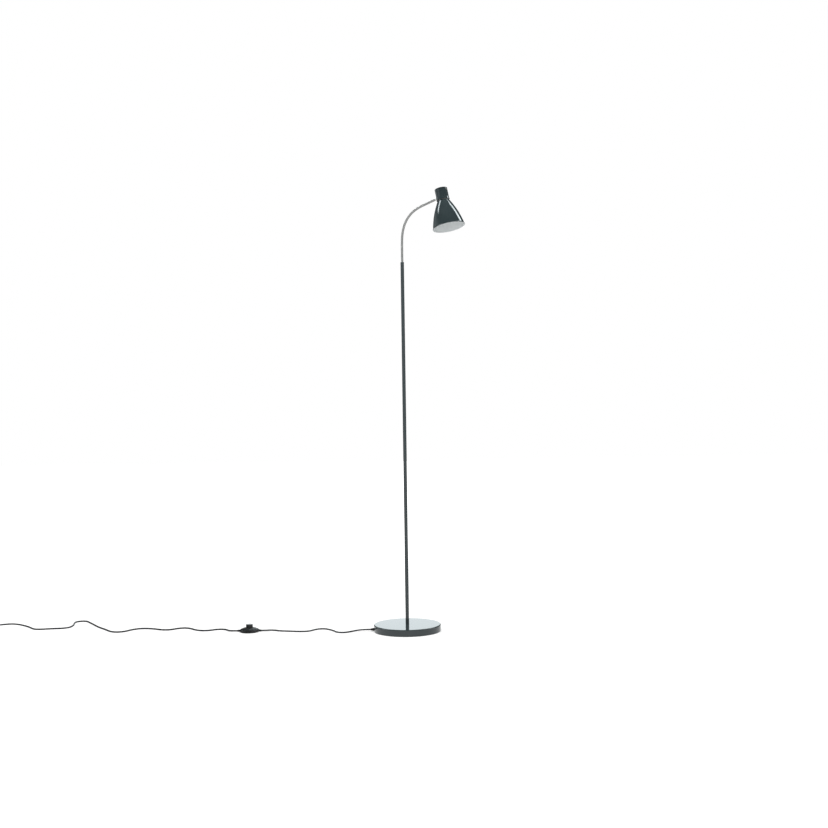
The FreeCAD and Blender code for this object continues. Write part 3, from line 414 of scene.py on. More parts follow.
def moved(grid, place):
    """Points carried by a 4x4 placement in millimetres."""
    return grid @ place[:3, :3].T + place[:3, 3]


def axes(origin, x, y, z):
    """A 4x4 placement from an origin and three axes."""
    place = np.eye(4)
    place[:3, 0], place[:3, 1], place[:3, 2], place[:3, 3] = x, y, z, origin
    return place


def put(piece, body, slot, *nodes):
    """Lets a piece ride on a body and hides the nodes that it stands for. slot is not used."""
    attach(piece, body)
    if nodes:
        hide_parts(*nodes)
    return piece


print("helpers ready")

# %% [markdown]
# ## Lacquer on steel
# Base, pole, housing and shade are steel with a sprayed and baked lacquer: a dark grey-green, glossy
# coat. Lacquer is a clear dielectric over pigment, with an IOR of 1.5 and a low roughness, and it dries
# with a very shallow waviness called orange peel, about a millimetre or two from crest to crest. The
# inside of the shade is the same paint in white.

# %% Finish: baked lacquer
lacquer, tree, shader = new_material("baked_gloss_lacquer", IOR=1.5)
place = mottle(tree, shader, 60.0, ("#2b3537", "#30393b"), (0.05, 0.09))
grain(tree, shader, place, 1.6, 0.003, detail=1.0)

white_enamel, tree, shader = new_material("baked_white_enamel", IOR=1.5)
place = mottle(tree, shader, 30.0, ("#e2e6e7", "#e8ecec"), (0.3, 0.4))
grain(tree, shader, place, 1.4, 0.008)
print(lacquer.name, white_enamel.name)

# %% [markdown]
# ## Base
# The base is a pressed steel cover over an iron weight. Its profile is a ring with a rounded upper edge
# and a plain lower edge a little over the floor, turned as one closed shell with its real thickness.

# %% Base cover
base_radius = 115.0
base_height = 23.5
cover_wall = 1.5
cover_foot = 0.6
nipple_room = 4.3
profile = soften([(nipple_room, base_height - 0.8), (nipple_room, base_height, 0.3),
                  (base_radius, base_height, 3.0), (base_radius, cover_foot, 0.4),
                  (base_radius - cover_wall, cover_foot, 0.4),
                  (base_radius - cover_wall, base_height - cover_wall, 1.5),
                  (nipple_room, base_height - cover_wall, 0.3)], 8)
cover = surface("base_cover_shell", turned(profile, 256), lacquer, close_rows=True)
put(cover, "stand", "base_paint", "base_cover")
print(len(cover.data.polygons), "faces")

# %% [markdown]
# ## Pole
# Three steel tubes screw together without a visible sleeve. Only a hair line with a small chamfer shows
# where they meet, so each tube keeps its own closed surface.

# %% Pole tubes
pole_radius = 6.0
pole_bore = 5.0
pole_chamfer = 0.25
for node in ("pole_lower_tube", "pole_middle_tube", "pole_upper_tube"):
    low, high = (corner.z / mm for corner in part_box(node))
    profile = soften([(pole_bore, low), (pole_radius, low, pole_chamfer),
                      (pole_radius, high, pole_chamfer), (pole_bore, high)], 3)
    tube = surface(node + "_skin", turned(profile, 64), lacquer, close_rows=True)
    put(tube, "stand", "pole_paint", node)
    print(node, round(high - low, 1), "mm")

# %% [markdown]
# ## Neck
# A gooseneck is steel wire wound into a tube that stays where it is bent. Seen close, its turns are a
# screw line of rounded ridges with dark grooves between them. The model bends at a chain of joints, so
# the tube is made in stretches, each from the middle of one link to the middle of the next, whose
# surface is bent smoothly across its joint. The screw line's phase runs on from stretch to stretch.

# %% Neck line
joint_names = (["neck_lean_%d" % n for n in (1, 2)] + ["neck_bend_%d" % n for n in range(1, 9)]
               + ["neck_swing_%d" % n for n in (1, 2)])
hinges = np.array([joints[name]["pos_m"] for name in joint_names]) / mm
pole_top = np.array([0.0, 0.0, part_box("pole_upper_tube")[1].z / mm])
stub_length = 26.0
ferrule_length = 8.0
head_x = (hinges[-1] - hinges[-2]) / np.linalg.norm(hinges[-1] - hinges[-2])
head_z = np.array(joints["neck_swing_2"]["axis"])
head_y = np.cross(head_z, head_x)
neck_end = hinges[-1] + head_x * (stub_length - ferrule_length)
between = (hinges[1:] + hinges[:-1]) / 2
starts = np.vstack([pole_top, between])
ends = np.vstack([between, neck_end])
print("neck stretches", len(hinges))

# %% [markdown]
# The wound surface: at a distance s along the neck and an angle a round it, the radius is that of a round
# wire's crest at the phase s / pitch - a / full turn. The line itself is a quadratic curve that leaves one
# link and arrives in the next along their axes.

# %% Neck surface
neck_radius = 4.0
neck_pitch = 3.2
groove_depth = 0.5
around = 40
per_turn = 9


def bent_line(start, corner, end, count):
    """Quadratic curve, (1-t)^2 start + 2t(1-t) corner + t^2 end, with evenly spaced points."""
    fine = np.linspace(0, 1, 400)[:, None]
    line = (1 - fine) ** 2 * start + 2 * fine * (1 - fine) * corner + fine ** 2 * end
    along = np.concatenate([[0], np.cumsum(np.linalg.norm(np.diff(line, axis=0), axis=1))])
    even = np.linspace(0, along[-1], count)
    return np.stack([np.interp(even, along, line[:, k]) for k in range(3)], -1), even


def wound_tube(start, corner, end, done):
    """Points of one stretch, closed at both ends, and its length."""
    length = np.linalg.norm(corner - start) + np.linalg.norm(end - corner)
    count = int(length / neck_pitch * per_turn) + 2
    line, along = bent_line(start, corner, end, count)
    way = np.gradient(line, axis=0)
    way /= np.linalg.norm(way, axis=1, keepdims=True)
    side = np.broadcast_to(head_y, way.shape)
    out = np.cross(side, way)
    angle = np.linspace(0, 2 * math.pi, around, endpoint=False)
    phase = ((along[:, None] + done) / neck_pitch - angle / (2 * math.pi)) % 1.0
    crest = np.sqrt(np.clip(1 - (2 * phase - 1) ** 2, 0, 1))
    radius = (neck_radius - groove_depth + groove_depth * crest)[..., None]
    cos, sin = np.cos(angle)[:, None], np.sin(angle)[:, None]
    grid = line[:, None] + radius * (out[:, None] * cos + side[:, None] * sin)
    foot, top = (np.repeat(edge[:, None], around, 1) for edge in (line[:1], line[-1:]))
    capped = np.concatenate([foot, grid, top])
    return capped, along[-1]


# %% [markdown]
# ## Nickel-plated wire
# The wire is steel with a satin nickel plating: a dull grey metal with a roughness near 0.35. The drawn
# wire keeps a faint unevenness, and the grooves need no darker paint, as they shade themselves.

# %% Finish: satin nickel
nickel, tree, shader = new_material("satin_nickel_plating", Metallic=0.7)
place = mottle(tree, shader, 6.0, ("#9c9c9b", "#b4b4b2"), (0.3, 0.42))
grain(tree, shader, place, 0.5, 0.01)

bright_nickel, tree, shader = new_material("bright_nickel_plating", Metallic=1.0)
place = mottle(tree, shader, 5.0, ("#cfcecb", "#dad9d6"), (0.1, 0.18))
grain(tree, shader, place, 0.8, 0.003)
print(nickel.name, bright_nickel.name)

# %% [markdown]
# Each stretch is made where it lies, hides the frame's link that it stands for, and has its
# placement baked into its mesh.

# %% Neck stretches
done = 0.0
for index, (start, corner, end) in enumerate(zip(starts, hinges, ends)):
    grid, length = wound_tube(start, corner, end, done)
    done += length
    piece = surface("neck_stretch_%02d" % (index + 1), grid, nickel)
    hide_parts("neck_link_%02d" % index if index else "neck_foot")
    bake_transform(piece)
print("neck length %.1f mm" % done)

# %% [markdown]
# ## Head
# The head has its own axes: X along the neck's end, Z up through the lampholder. Both come from the last
# joint, so the housing and the shade are turned profiles about that Z.

# %% Head axes
housing_radius = 21.2
housing_wall = 1.2
head_origin = hinges[-1] + head_x * (stub_length + housing_radius)
head = axes(head_origin, head_x, head_y, head_z)
side_view = math.radians(-50)   # azimuth in the head of the side turned to the reader
shell_bottom, shell_top = -14.0, 14.0
cap_bottom, cap_top = 14.6, 26.2
print("head at", np.round(head_origin, 1))

# %% [markdown]
# The ferrule is a bright sleeve crimped over the neck's end, with one groove near the housing. Its
# threaded stud goes through the housing's wall, and the lead runs through its bore.

# %% Ferrule
ferrule_radius = 4.6
groove_radius = 4.35
stud_radius = 4.0
lead_bore = 2.4
ferrule_foot = stub_length - ferrule_length
stud_end = stub_length + housing_wall + 5.0
profile = soften([(0, ferrule_foot - 0.6), (ferrule_radius - 0.4, ferrule_foot - 0.6, 0.4),
                  (ferrule_radius, ferrule_foot + 0.4, 0.5), (ferrule_radius, stub_length - 4.2, 0.2),
                  (groove_radius, stub_length - 3.9, 0.1), (groove_radius, stub_length - 3.3, 0.1),
                  (ferrule_radius, stub_length - 3.0, 0.2), (ferrule_radius, stub_length - 0.1, 0.3),
                  (stud_radius, stub_length - 0.1), (stud_radius, stud_end, 0.3),
                  (lead_bore, stud_end), (lead_bore, stub_length - 4.0), (0, stub_length - 4.0)])
stub = axes(hinges[-1], head_z, head_y, head_x)
ferrule = surface("neck_end_ferrule", turned(profile, 48, stub), bright_nickel)
put(ferrule, "head", "neck_steel", "neck_ferrule")
print(len(ferrule.data.polygons), "faces")

# %% [markdown]
# The housing's shell is a short tube whose lower edge flares a little and has five shallow air notches.
# A notch could be cut with a boolean, but the lower edge can simply be lifted where a smooth function of
# the angle says so, which keeps the grid regular and the highlights clean.

# %% Housing shell
notch_count = 5
notch_half = math.radians(11)
notch_height = 1.6
shell_segments = 360


def notch_lift(angles):
    """Smooth step up by the notch's height within half a notch's width of each of five middles."""
    spacing = 2 * math.pi / notch_count
    away = np.abs((angles - side_view + math.radians(40) + spacing / 2) % spacing - spacing / 2)
    share = np.clip((notch_half - away) / math.radians(1.5) + 0.5, 0, 1)
    return notch_height * share * share * (3 - 2 * share)


bore = housing_radius - housing_wall
flare_radius = housing_radius + 1.0
flare_height = 9.0
profile = soften([(bore + 0.8, shell_bottom), (flare_radius, shell_bottom, 0.25),
                  (flare_radius, shell_bottom + 0.8, 0.4),
                  (housing_radius, shell_bottom + flare_height, 20.0),
                  (housing_radius, shell_top, 0.35), (bore, shell_top, 0.2), (bore, shell_bottom + 3.4, 0.5)])
grid = turned(profile, shell_segments)
angles = np.linspace(0, 2 * math.pi, shell_segments, endpoint=False)
edge_height = 2.2
lower = np.clip((shell_bottom + edge_height - grid[..., 2]) / edge_height, 0, 1)
grid[..., 2] += lower * notch_lift(angles)[None]
shell = surface("housing_tube", moved(grid, head), lacquer, close_rows=True)
put(shell, "head", "head_paint", "housing_shell")
print(len(shell.data.polygons), "faces")

# %% [markdown]
# The cap closes the housing. Three long vent slots under its rounded edge let the heat out. The grid's
# lines run along the slots' edges, the quads inside them are left out, and a Solidify modifier gives the
# sheet its thickness, so the slots get real walls.

# %% Housing cap
vent_count = 3
vent_half = math.radians(35)
vent_top = cap_top - 2.2
vent_bottom = vent_top - 1.8
cap_segments = 360
lip_radius = housing_radius - housing_wall - 0.1
side = soften([(lip_radius, shell_top - 4.0), (lip_radius, cap_bottom - 0.3, 0.1),
               (housing_radius, cap_bottom - 0.3, 0.3), (housing_radius, vent_bottom - 0.1)], 4)
upper = soften([(housing_radius, vent_top + 0.1), (housing_radius, cap_top, 1.6), (0, cap_top)], 8)
lines = np.concatenate([side, [(housing_radius, vent_bottom), (housing_radius, vent_top)], upper])
angles = np.linspace(0, 2 * math.pi, cap_segments, endpoint=False)
spacing = 2 * math.pi / vent_count
middle_angle = angles + math.pi / cap_segments
inside = np.abs((middle_angle - side_view + spacing / 2) % spacing - spacing / 2) < vent_half
keep = np.ones((len(lines) - 1, cap_segments), bool)
keep[len(side)] = ~inside
cap = surface("housing_lid", moved(turned(lines, cap_segments), head), lacquer, keep=keep)
solid = cap.modifiers.new("wall", "SOLIDIFY")
solid.thickness = 1.0 * mm
solid.offset = -1.0
solid.use_even_offset = True
put(cap, "head", "head_paint", "housing_cap")
print("vent quads left out", int((~keep).sum()))

# %% [markdown]
# ## Shade
# The shade is a spun steel bell: a flat shoulder, a convex side that widens to the mouth, and an edge
# rolled over into a small bead. One closed profile carries the outside, the bead and the inside, and
# the inside's faces get the white enamel.

# %% Shade
shade_top = -15.0
shade_length = 93.0
shade_mouth = shade_top - shade_length
mouth_radius = 54.3
shoulder_radius = 20.8
shade_wall = 1.0
bead = 0.9
bulge = 4.1
hole_radius = 14.2
top = np.array([shoulder_radius, shade_top - 2.0])
foot = np.array([mouth_radius - bead, shade_mouth + 2 * bead])
out = np.array([-(foot - top)[1], (foot - top)[0]])
out = out / np.linalg.norm(out) * (1 if out[0] > 0 else -1)
outer_side = curve_through(top, (top + foot) / 2 + out * bulge, foot, 60)
shoulder = soften([(hole_radius, shade_top), (shoulder_radius, shade_top, 2.0), tuple(top)], 8)[:-1]
bead_angles = np.radians(np.linspace(80, -200, 22))
bead_middle = foot + np.array([0.0, -bead])
rolled = bead_middle + bead * np.column_stack([np.cos(bead_angles), np.sin(bead_angles)])
inner_side = (outer_side - out * shade_wall)[::-1][2:]
inner_shoulder = soften([tuple(top - out * shade_wall),
                         (shoulder_radius - shade_wall, shade_top - shade_wall, 1.2),
                         (hole_radius, shade_top - shade_wall)], 6)[1:]
profile = np.concatenate([shoulder, outer_side, rolled, inner_side, inner_shoulder])
paint_end = len(shoulder) + len(outer_side) + 14
slots = np.zeros((len(profile), 192), int)
slots[paint_end:-1] = 1
bell = surface("shade_bell", moved(turned(profile, 192), head), [lacquer, white_enamel],
               close_rows=True, materials=slots)
put(bell, "head", "shade_enamel", "shade")
print("shade profile points", len(profile))

# %% [markdown]
# ## Bulb
# A small round opal lamp sits in the lampholder. Opal glass scatters light, so its surface is white and
# slightly glossy with a little transmission.

# %% Bulb
opal, tree, shader = new_material("opal_glass", IOR=1.5, Transmission_Weight=0.25)
place = mottle(tree, shader, 40.0, ("#eceae4", "#f1efe9"), (0.16, 0.22))
grain(tree, shader, place, 3.0, 0.004)
holder_mouth = shade_top - 11.0
bulb_radius = 22.5
bulb_tip = holder_mouth - 50.5
bulb_middle = bulb_tip + bulb_radius
glass_neck_radius = 7.5
glass_wall = 0.8
join = 11.5
join_angle = math.acos(join / bulb_radius)
ball = np.linspace(join_angle, -math.pi / 2, 40)
sphere = np.column_stack([bulb_radius * np.cos(ball), bulb_middle + bulb_radius * np.sin(ball)])
glass_neck = np.array([(glass_neck_radius - glass_wall, holder_mouth - 1.0),
                       (glass_neck_radius, holder_mouth - 1.0),
                       (glass_neck_radius + 0.3, holder_mouth - 2.5),
                       (glass_neck_radius + 1.6, holder_mouth - 6.0)])
inner = bulb_radius - glass_wall
inside = np.column_stack([inner * np.cos(ball), bulb_middle + inner * np.sin(ball)])[::-1]
profile = np.concatenate([glass_neck, sphere, inside])
glass = surface("bulb_envelope", moved(turned(profile, 64), head), opal, close_rows=True)
put(glass, "head", "bulb_glass", "bulb_glass")
print(len(glass.data.polygons), "faces")

# %% [markdown]
# ## Foot switch
# The switch is a flat round body of black ABS in two shells with a fine seam between them. The upper
# shell rises in a shallow cone to a round button. Moulded ABS has an IOR of 1.52 and here a fine spark
# texture, about 0.6 mm from grain to grain; the button and the lower shell are smoother and darker.
# On the lower shell the darker colour is painted shade, standing for the shadow along the switch's foot.

# %% Finish: moulded ABS
abs_black, tree, shader = new_material("moulded_abs_spark_texture", IOR=1.52)
place = mottle(tree, shader, 18.0, ("#141516", "#1b1c1d"), (0.38, 0.5))
grain(tree, shader, place, 0.6, 0.02)

# smoother, darker ABS: on the lower shell its darker colour is painted shade along the switch's foot
smooth_abs_and_painted_shade, tree, shader = new_material("moulded_abs_polished_and_painted_shade", IOR=1.52)
place = mottle(tree, shader, 12.0, ("#08090a", "#0d0e0f"), (0.25, 0.35))
grain(tree, shader, place, 1.2, 0.006)

rubber, tree, shader = new_material("moulded_rubber", IOR=1.5)
place = mottle(tree, shader, 8.0, ("#151515", "#1d1d1d"), (0.6, 0.75))
grain(tree, shader, place, 0.8, 0.03)
print(abs_black.name, smooth_abs_and_painted_shade.name, rubber.name)

# %% [markdown]
# The lower shell is a shallow cup. The upper shell starts at the seam, bulges slightly on its way up to
# the waist, and turns in to the button's hole. The button has a flange that keeps it in.

# %% Switch shells
switch = axes((switch_x, switch_y, 0), (1, 0, 0), (0, 1, 0), (0, 0, 1))
switch_radius = 34.5
seam = 6.2
side_wall = 2.0
floor_wall = 1.4
cover_rim = switch_radius - 0.2
waist, waist_height = 14.5, 15.4
button_hole = 12.2
knee = ((cover_rim + waist) / 2 + 0.6, (seam + waist_height) / 2 + 1.5)
cup_radius = switch_radius - side_wall
profile = soften([(0, 0), (switch_radius - 3.0, 0, 0.8), (switch_radius, 3.0, 1.2),
                  (switch_radius, seam - 0.3, 0.3), (cup_radius, seam - 0.3, 0.2),
                  (cup_radius, 3.6, 0.6), (switch_radius - 3.9, floor_wall), (0, floor_wall)])
# the lower shell's darker colour is painted shade, for the shadow along the switch's foot
lower_shell = surface("switch_lower_shell", turned(profile, 128, switch), smooth_abs_and_painted_shade)
put(lower_shell, "stand", "black_moulding", "switch_base")

cone_foot = (cover_rim - 0.4, seam + 1.0)
cone = curve_through(cone_foot, knee, (waist + 0.5, waist_height - 0.3), 24)
rim = soften([(cover_rim - side_wall, seam), (cover_rim, seam, 0.3), (cover_rim, seam + 0.7, 0.3),
              cone_foot], 3)
mouth = soften([(waist + 0.1, waist_height), (button_hole, waist_height, 0.3),
                (button_hole, waist_height - 2.0)], 3)
profile = np.concatenate([rim, cone, mouth, cone[::-1] - np.array([1.2, 1.8])])
upper_shell = surface("switch_upper_shell", turned(profile, 128, switch), abs_black, close_rows=True)
put(upper_shell, "stand", "black_moulding", "switch_cover")
print(len(upper_shell.data.polygons), "faces")

# %% Switch button
button_radius = 11.8
button_top = 26.0
button_wall = 2.0
flange_width = 1.6
flange = waist_height - 4.0
flange_top = flange + 1.6
profile = soften([(button_radius - 1.6, flange), (button_radius + flange_width, flange, 0.2),
                  (button_radius + flange_width, flange_top, 0.2), (button_radius, flange_top, 0.2),
                  (button_radius, button_top, 1.4), (button_radius - 2.6, button_top - 0.1, 0.6),
                  (button_radius - 4.2, button_top - 0.5, 0.8), (0, button_top - 0.6),
                  (0, button_top - button_wall), (button_radius - 1.6, button_top - button_wall, 0.4)], 5)
profile = np.vstack([profile, profile[:1]])
button = surface("switch_push_button", turned(profile, 96, switch), smooth_abs_and_painted_shade)
put(button, "foot_button", "button_plastic", "switch_button")
print(len(button.data.polygons), "faces")

# %% [markdown]
# ## Grommets and bush
# Where a cord leaves a housing, a soft tapered sleeve keeps it from kinking. Its nose gets thinner
# towards the tip, with shallow rings that let it flex.

# %% Tapered sleeves
bore = cord_radius + 0.05
ring_depth = 0.35


def sleeve(name, place, foot, nose, barrel, flange, rings):
    """A flange, a barrel and a ringed taper: the radius falls evenly and dips at each ring."""
    along = np.linspace(0, 1, 60)
    taper = (flange - 0.6) * (1 - along) + (bore + 0.6) * along
    dip = ring_depth * np.clip(np.sin(2 * math.pi * rings * along - math.pi / 2), 0, 1)
    nose_line = np.column_stack([taper - dip * (1 - along * 0.5), foot + (nose - 0.3 - foot) * along])
    body = soften([(bore, -4.0), (barrel, -4.0, 0.3), (barrel, 0.4), (flange, 0.4, 0.4),
                   (flange, foot, 0.5), tuple(nose_line[0])], 4)[:-1]
    tip = [(bore + 0.45, nose - 0.05), (bore + 0.3, nose), (bore, nose)]
    grid = turned(np.concatenate([body, nose_line, tip]), 64, place)
    return surface(name, grid, rubber, close_rows=True)


bush_place = axes((-base_radius, 0, bore_height), (0, 1, 0), (0, 0, 1), (-1, 0, 0))
bush_place[:3, 0] = np.cross(bush_place[:3, 1], bush_place[:3, 2])
bush = sleeve("base_cord_sleeve", bush_place, foot=2.4, nose=11.4, barrel=4.0, flange=5.4, rings=3)
put(bush, "stand", "pad_rubber", "cord_bush")
for way, label in ((1, "right"), (-1, "left")):
    side = (switch_x + way * switch_radius, switch_y, switch_entry)
    place = axes(side, (0, way, 0), (0, 0, 1), (way, 0, 0))
    grommet = sleeve("switch_sleeve_" + label, place, foot=1.6, nose=7.0, barrel=3.2, flange=4.1, rings=2)
    put(grommet, "stand", "pad_rubber", *(["switch_grommets"] if way == 1 else []))
print("sleeves 3")

# %% [markdown]
# ## Plug
# The plug lies beside its coil. It is moulded round the cord: a flat body with rounded corners that
# narrows into a nose. The body is a stack of rounded rectangles whose size follows the length, from the
# face with the two pins to the cord's end.

# %% Plug body
plug_nose = 20.0
plug_length = 36.0
plug_width = 35.0
plug_height = 14.4
grip_count = 7
plug_x = float(tail_end[0])
plug_y = float(tail_end[1])


def plug_grid(stations, segments=96):
    """Superellipse sections |y/a|^n + |z/b|^n = 1 at each station's x, half sizes a and b, power n."""
    angle = np.linspace(0, 2 * math.pi, segments, endpoint=False)
    x, a, b, n = (stations[:, k][:, None] for k in range(4))
    cos, sin = np.cos(angle), np.sin(angle)
    y = a * np.sign(cos) * np.abs(cos) ** (2 / n)
    z = b * np.sign(sin) * np.abs(sin) ** (2 / n)
    return np.stack([x + 0 * y, plug_y + y, plug_axis_height + z], -1)


half_w, half_h = plug_width / 2, plug_height / 2
face_x = plug_x - plug_nose - plug_length
point = 0.01
stations = [(face_x, point, point, 4), (face_x, half_w - 1.6, half_h - 1.6, 5),
            (face_x + 0.5, half_w - 0.5, half_h - 0.5, 5), (face_x + 1.6, half_w, half_h, 5),
            (face_x + 16, half_w, half_h, 5)]
for step in range(grip_count):
    start, half = face_x + 18 + step * 2.0, half_w - 0.2 * step
    stations += [(start, half, half_h, 4.6), (start + 0.5, half - 0.7, half_h - 0.6, 4.6),
                 (start + 1.0, half - 0.7, half_h - 0.6, 4.6), (start + 1.5, half - 0.1, half_h, 4.6)]
stations += [(face_x + 33, 13.5, half_h, 4), (face_x + 35.5, 10.0, half_h - 0.8, 3),
             (face_x + 37.5, 6.5, 5.6, 2.4), (face_x + 40, 5.2, 5.2, 2),
             (plug_x - 1.0, 3.4, 3.4, 2), (plug_x, 3.0, 3.0, 2), (plug_x, point, point, 2)]
plug = surface("plug_moulding", plug_grid(np.array(stations)), abs_black)
put(plug, "stand", "black_moulding", "plug_body")
print("plug", round(plug_x - face_x), "mm long")

# %% [markdown]
# ## Small parts
# The frame's own screws, nuts, plates and the rubber ring already have their real shape, so they stay and only
# get their finish: zinc-plated steel, cast iron, brass and moulded plastic.

# %% Finishes for the small parts
zinc, tree, shader = new_material("zinc_plated_steel", Metallic=1.0)
place = mottle(tree, shader, 3.0, ("#a8abad", "#bfc2c4"), (0.3, 0.45))
grain(tree, shader, place, 0.4, 0.01)

brass, tree, shader = new_material("stamped_brass", Metallic=1.0)
place = mottle(tree, shader, 5.0, ("#b99b55", "#cbb06a"), (0.22, 0.34))
grain(tree, shader, place, 0.6, 0.006)

iron, tree, shader = new_material("cast_iron_as_cast", IOR=1.5, Metallic=0.6)
place = mottle(tree, shader, 6.0, ("#3b3a38", "#4c4a47"), (0.6, 0.8))
grain(tree, shader, place, 0.9, 0.12, detail=4.0)

bakelite, tree, shader = new_material("moulded_thermoset", IOR=1.55)
place = mottle(tree, shader, 10.0, ("#dedbd2", "#e6e3da"), (0.3, 0.4))
grain(tree, shader, place, 1.0, 0.01)

pbt, tree, shader = new_material("moulded_pbt", IOR=1.5)
place = mottle(tree, shader, 14.0, ("#19191a", "#222223"), (0.42, 0.55))
grain(tree, shader, place, 0.7, 0.02)

aluminium, tree, shader = new_material("rolled_aluminium", Metallic=1.0)
place = mottle(tree, shader, 4.0, ("#c3c4c5", "#d2d3d4"), (0.25, 0.35))
grain(tree, shader, place, 0.5, 0.006)

finishes = {
    "iron": iron, "black_moulding": pbt, "pad_rubber": rubber, "cord_sheath": pvc, "tie_plastic": pbt,
    "zinc_steel": zinc, "spring_steel": zinc, "bright_screw": bright_nickel, "neck_steel": nickel,
    "lampholder_body": bakelite, "contact_brass": brass, "wire_insulation": pvc, "bulb_metal": aluminium,
    "button_plastic": smooth_abs_and_painted_shade, "base_paint": lacquer, "pole_paint": lacquer, "head_paint": lacquer,
    "shade_enamel": lacquer, "bulb_glass": opal}
slot_of = {entry["node"]: entry["material_slot"] for entry in frame["record"]["subparts"]}
for name, piece in frame["nodes"].items():
    piece.data.materials.clear()
    piece.data.materials.append(finishes[slot_of[name]])
print("nodes finished", len(frame["nodes"]))

# %% [markdown]
# ## The studio
# The lamp stands in a white studio. What lights it and what is mirrored in it are set apart, as a
# photographer does with soft boxes and black flags. Matt surfaces get an even light from all round and
# a large soft box overhead. Gloss and metal mirror a plan of the room: a narrow bright wall straight
# behind, a tall strip light on each side, and black cloth between, which draws the dark outlines.
#
# A zone of that plan is a range of azimuth (degrees from straight behind, positive to the right), a
# range of elevation, the softness of its edges and its brightness.

# %% Plan of the room
wall_behind = (-10, 10, -20, 80, 2, 1.9)
left_strip, right_strip = (-81, -67, 33, 60, 1.5, 10.0), (54, 73, 31, 62, 1.5, 10.0)
left_card = (-68, -46, -20, 10, 6, 1.3)
left_glow, right_glow = (-112, -42, 6, 24, 9, 0.55), (60, 100, 4, 26, 9, 0.5)
zones = [wall_behind, left_strip, right_strip, left_card, left_glow, right_glow]
camera_side = (105, 181, -30, 14, 8, 1.1)   # on both sides, so its azimuth has no sign
black_cloth = 0.03


def band(tree, angle, low, high, soft):
    """1 between two angles and 0 outside, as the product of two smooth steps."""
    rise = add(tree, "ShaderNodeMapRange", {
        "Value": angle, "From Min": low - soft, "From Max": low + soft}, interpolation_type="SMOOTHSTEP")
    fall = add(tree, "ShaderNodeMapRange", {
        "Value": angle, "From Min": high - soft, "From Max": high + soft, "To Min": 1.0, "To Max": 0.0},
        interpolation_type="SMOOTHSTEP")
    both = add(tree, "ShaderNodeMath", {0: rise.outputs[0], 1: fall.outputs[0]}, operation="MULTIPLY")
    return both.outputs[0]


def degrees_of(tree, operation, *values):
    """An angle in degrees: the arc function's result for one or two values."""
    turn = add(tree, "ShaderNodeMath", dict(enumerate(values)), operation=operation)
    return add(tree, "ShaderNodeMath", {0: turn.outputs[0]}, operation="DEGREES").outputs[0]


def room_light(tree, x, y, elevation=None):
    """Brightness of the room in a direction: each zone's strength where both its bands are 1."""
    azimuth = degrees_of(tree, "ARCTAN2", x, y)
    size = add(tree, "ShaderNodeMath", {0: azimuth}, operation="ABSOLUTE").outputs[0]
    total = black_cloth
    for zone in zones + [camera_side]:
        low, high, foot, top, soft, strength = zone
        share = band(tree, size if zone is camera_side else azimuth, low, high, soft)
        if elevation is not None:
            height = band(tree, elevation, foot, top, soft)
            share = add(tree, "ShaderNodeMath", {0: share, 1: height}, operation="MULTIPLY").outputs[0]
        elif foot > 0:
            continue
        total = add(tree, "ShaderNodeMath", {0: share, 1: strength, 2: total},
                    operation="MULTIPLY_ADD").outputs[0]
    return total


print("zones", len(zones) + 1)

# %% [markdown]
# The floor is matt white paper. To the camera it is lifted to a clean white by a little light of its
# own, which leaves the lamp's soft shadow on it. Mirrored in the lamp it is white near the base, and
# farther off it follows the plan of the room, so that the pole looks the same along its whole height.

# %% Floor
floor_mesh = bpy.data.meshes.new("floor")
floor_half = 12.0
white_near, white_gone = 0.25, 0.8      # metres from the base
lift_near, lift_far = 0.9, 3.0
corners = [(x * floor_half, y * floor_half, 0) for x, y in ((-1, -1), (1, -1), (1, 1), (-1, 1))]
floor_mesh.from_pydata(corners, [], [(0, 1, 2, 3)])
floor = bpy.data.objects.new("floor", floor_mesh)
bpy.context.scene.collection.objects.link(floor)
paper = bpy.data.materials.new("white_paper_sweep")
paper.use_nodes = True
tree = paper.node_tree
tree.nodes.clear()
path = add(tree, "ShaderNodeLightPath")
place = add(tree, "ShaderNodeTexCoord").outputs["Object"]
spot = add(tree, "ShaderNodeSeparateXYZ", {"Vector": place})
distance = add(tree, "ShaderNodeVectorMath", {0: place}, operation="LENGTH").outputs["Value"]
near = add(tree, "ShaderNodeMapRange", {
    "Value": distance, "From Min": white_near, "From Max": white_gone, "To Min": 1.0, "To Max": 0.0},
    interpolation_type="SMOOTHSTEP")
plan = room_light(tree, spot.outputs[0], spot.outputs[1])
mirrored = add(tree, "ShaderNodeMix", {"Factor": near.outputs[0], "A": plan, "B": 1.1}, data_type="FLOAT")
far = add(tree, "ShaderNodeMapRange", {
    "Value": distance, "From Min": lift_near, "From Max": lift_far, "To Min": 0.25, "To Max": 1.0},
    interpolation_type="SMOOTHSTEP")
glossy = path.outputs["Is Glossy Ray"]
lift = add(tree, "ShaderNodeMath", {0: path.outputs["Is Camera Ray"], 1: far.outputs[0]},
           operation="MULTIPLY")
strength = add(tree, "ShaderNodeMix", {
    "Factor": glossy, "A": lift.outputs[0], "B": mirrored.outputs[0]}, data_type="FLOAT")
tint = add(tree, "ShaderNodeMix", {
    "Factor": glossy, "A": linear("#e8e8e8"), "B": (0, 0, 0, 1)}, data_type="RGBA")
matt = add(tree, "ShaderNodeBsdfDiffuse", {"Color": tint.outputs["Result"]})
glow = add(tree, "ShaderNodeEmission", {"Color": (1, 1, 1, 1), "Strength": strength.outputs[0]})
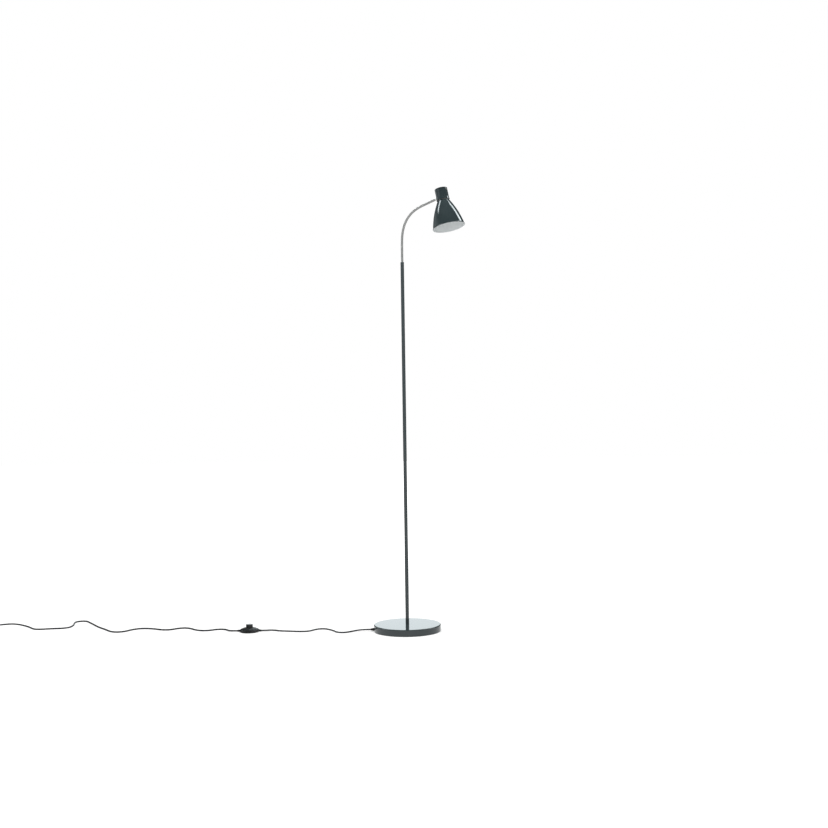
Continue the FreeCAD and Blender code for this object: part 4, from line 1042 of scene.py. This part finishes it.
both = add(tree, "ShaderNodeAddShader", {0: matt.outputs[0], 1: glow.outputs[0]})
add(tree, "ShaderNodeOutputMaterial", {"Surface": both.outputs[0]})
floor_mesh.materials.append(paper)
print(paper.name)

# %% [markdown]
# The world has three levels: white for the camera and through glass, the plan of the room for mirrored
# rays, slightly cool, and one even level for everything that lights the matt surfaces.

# %% World
world = bpy.data.worlds.new("studio")
bpy.context.scene.world = world
world.use_nodes = True
tree = world.node_tree
tree.nodes.clear()
path = add(tree, "ShaderNodeLightPath")
ambient = 0.68
glossy = path.outputs["Is Glossy Ray"]
view = add(tree, "ShaderNodeTexCoord").outputs["Generated"]
direction = add(tree, "ShaderNodeSeparateXYZ", {"Vector": view})
elevation = degrees_of(tree, "ARCSINE", direction.outputs[2])
room = room_light(tree, direction.outputs[0], direction.outputs[1], elevation)
level = add(tree, "ShaderNodeMix", {"Factor": glossy, "A": ambient, "B": room}, data_type="FLOAT")
white = add(tree, "ShaderNodeMath", {
    0: path.outputs["Is Camera Ray"], 1: path.outputs["Is Transmission Ray"]}, operation="MAXIMUM")
level = add(tree, "ShaderNodeMix", {
    "Factor": white.outputs[0], "A": level.outputs[0], "B": 1.0}, data_type="FLOAT")
cool = add(tree, "ShaderNodeMix", {
    "Factor": glossy, "A": (1, 1, 1, 1), "B": linear("#f3fcff")}, data_type="RGBA")
sky = add(tree, "ShaderNodeBackground", {"Color": cool.outputs["Result"], "Strength": level.outputs[0]})
add(tree, "ShaderNodeOutputWorld", {"Surface": sky.outputs[0]})
print(world.name)

# %% [markdown]
# One large soft box above and a little in front of the lamp gives the soft shadow under the base. It
# isn't seen and isn't mirrored.

# %% Soft box overhead
light = bpy.data.lights.new("overhead_softbox", "AREA")
light.shape = "SQUARE"
light.size = 2.4
light.energy = 80
softbox = bpy.data.objects.new("overhead_softbox", light)
softbox.matrix_world = Matrix.Translation((0.0, -0.8, 3.4))
softbox.visible_camera = False
softbox.visible_glossy = False
bpy.context.scene.collection.objects.link(softbox)
print("softbox %.0f W" % light.energy)
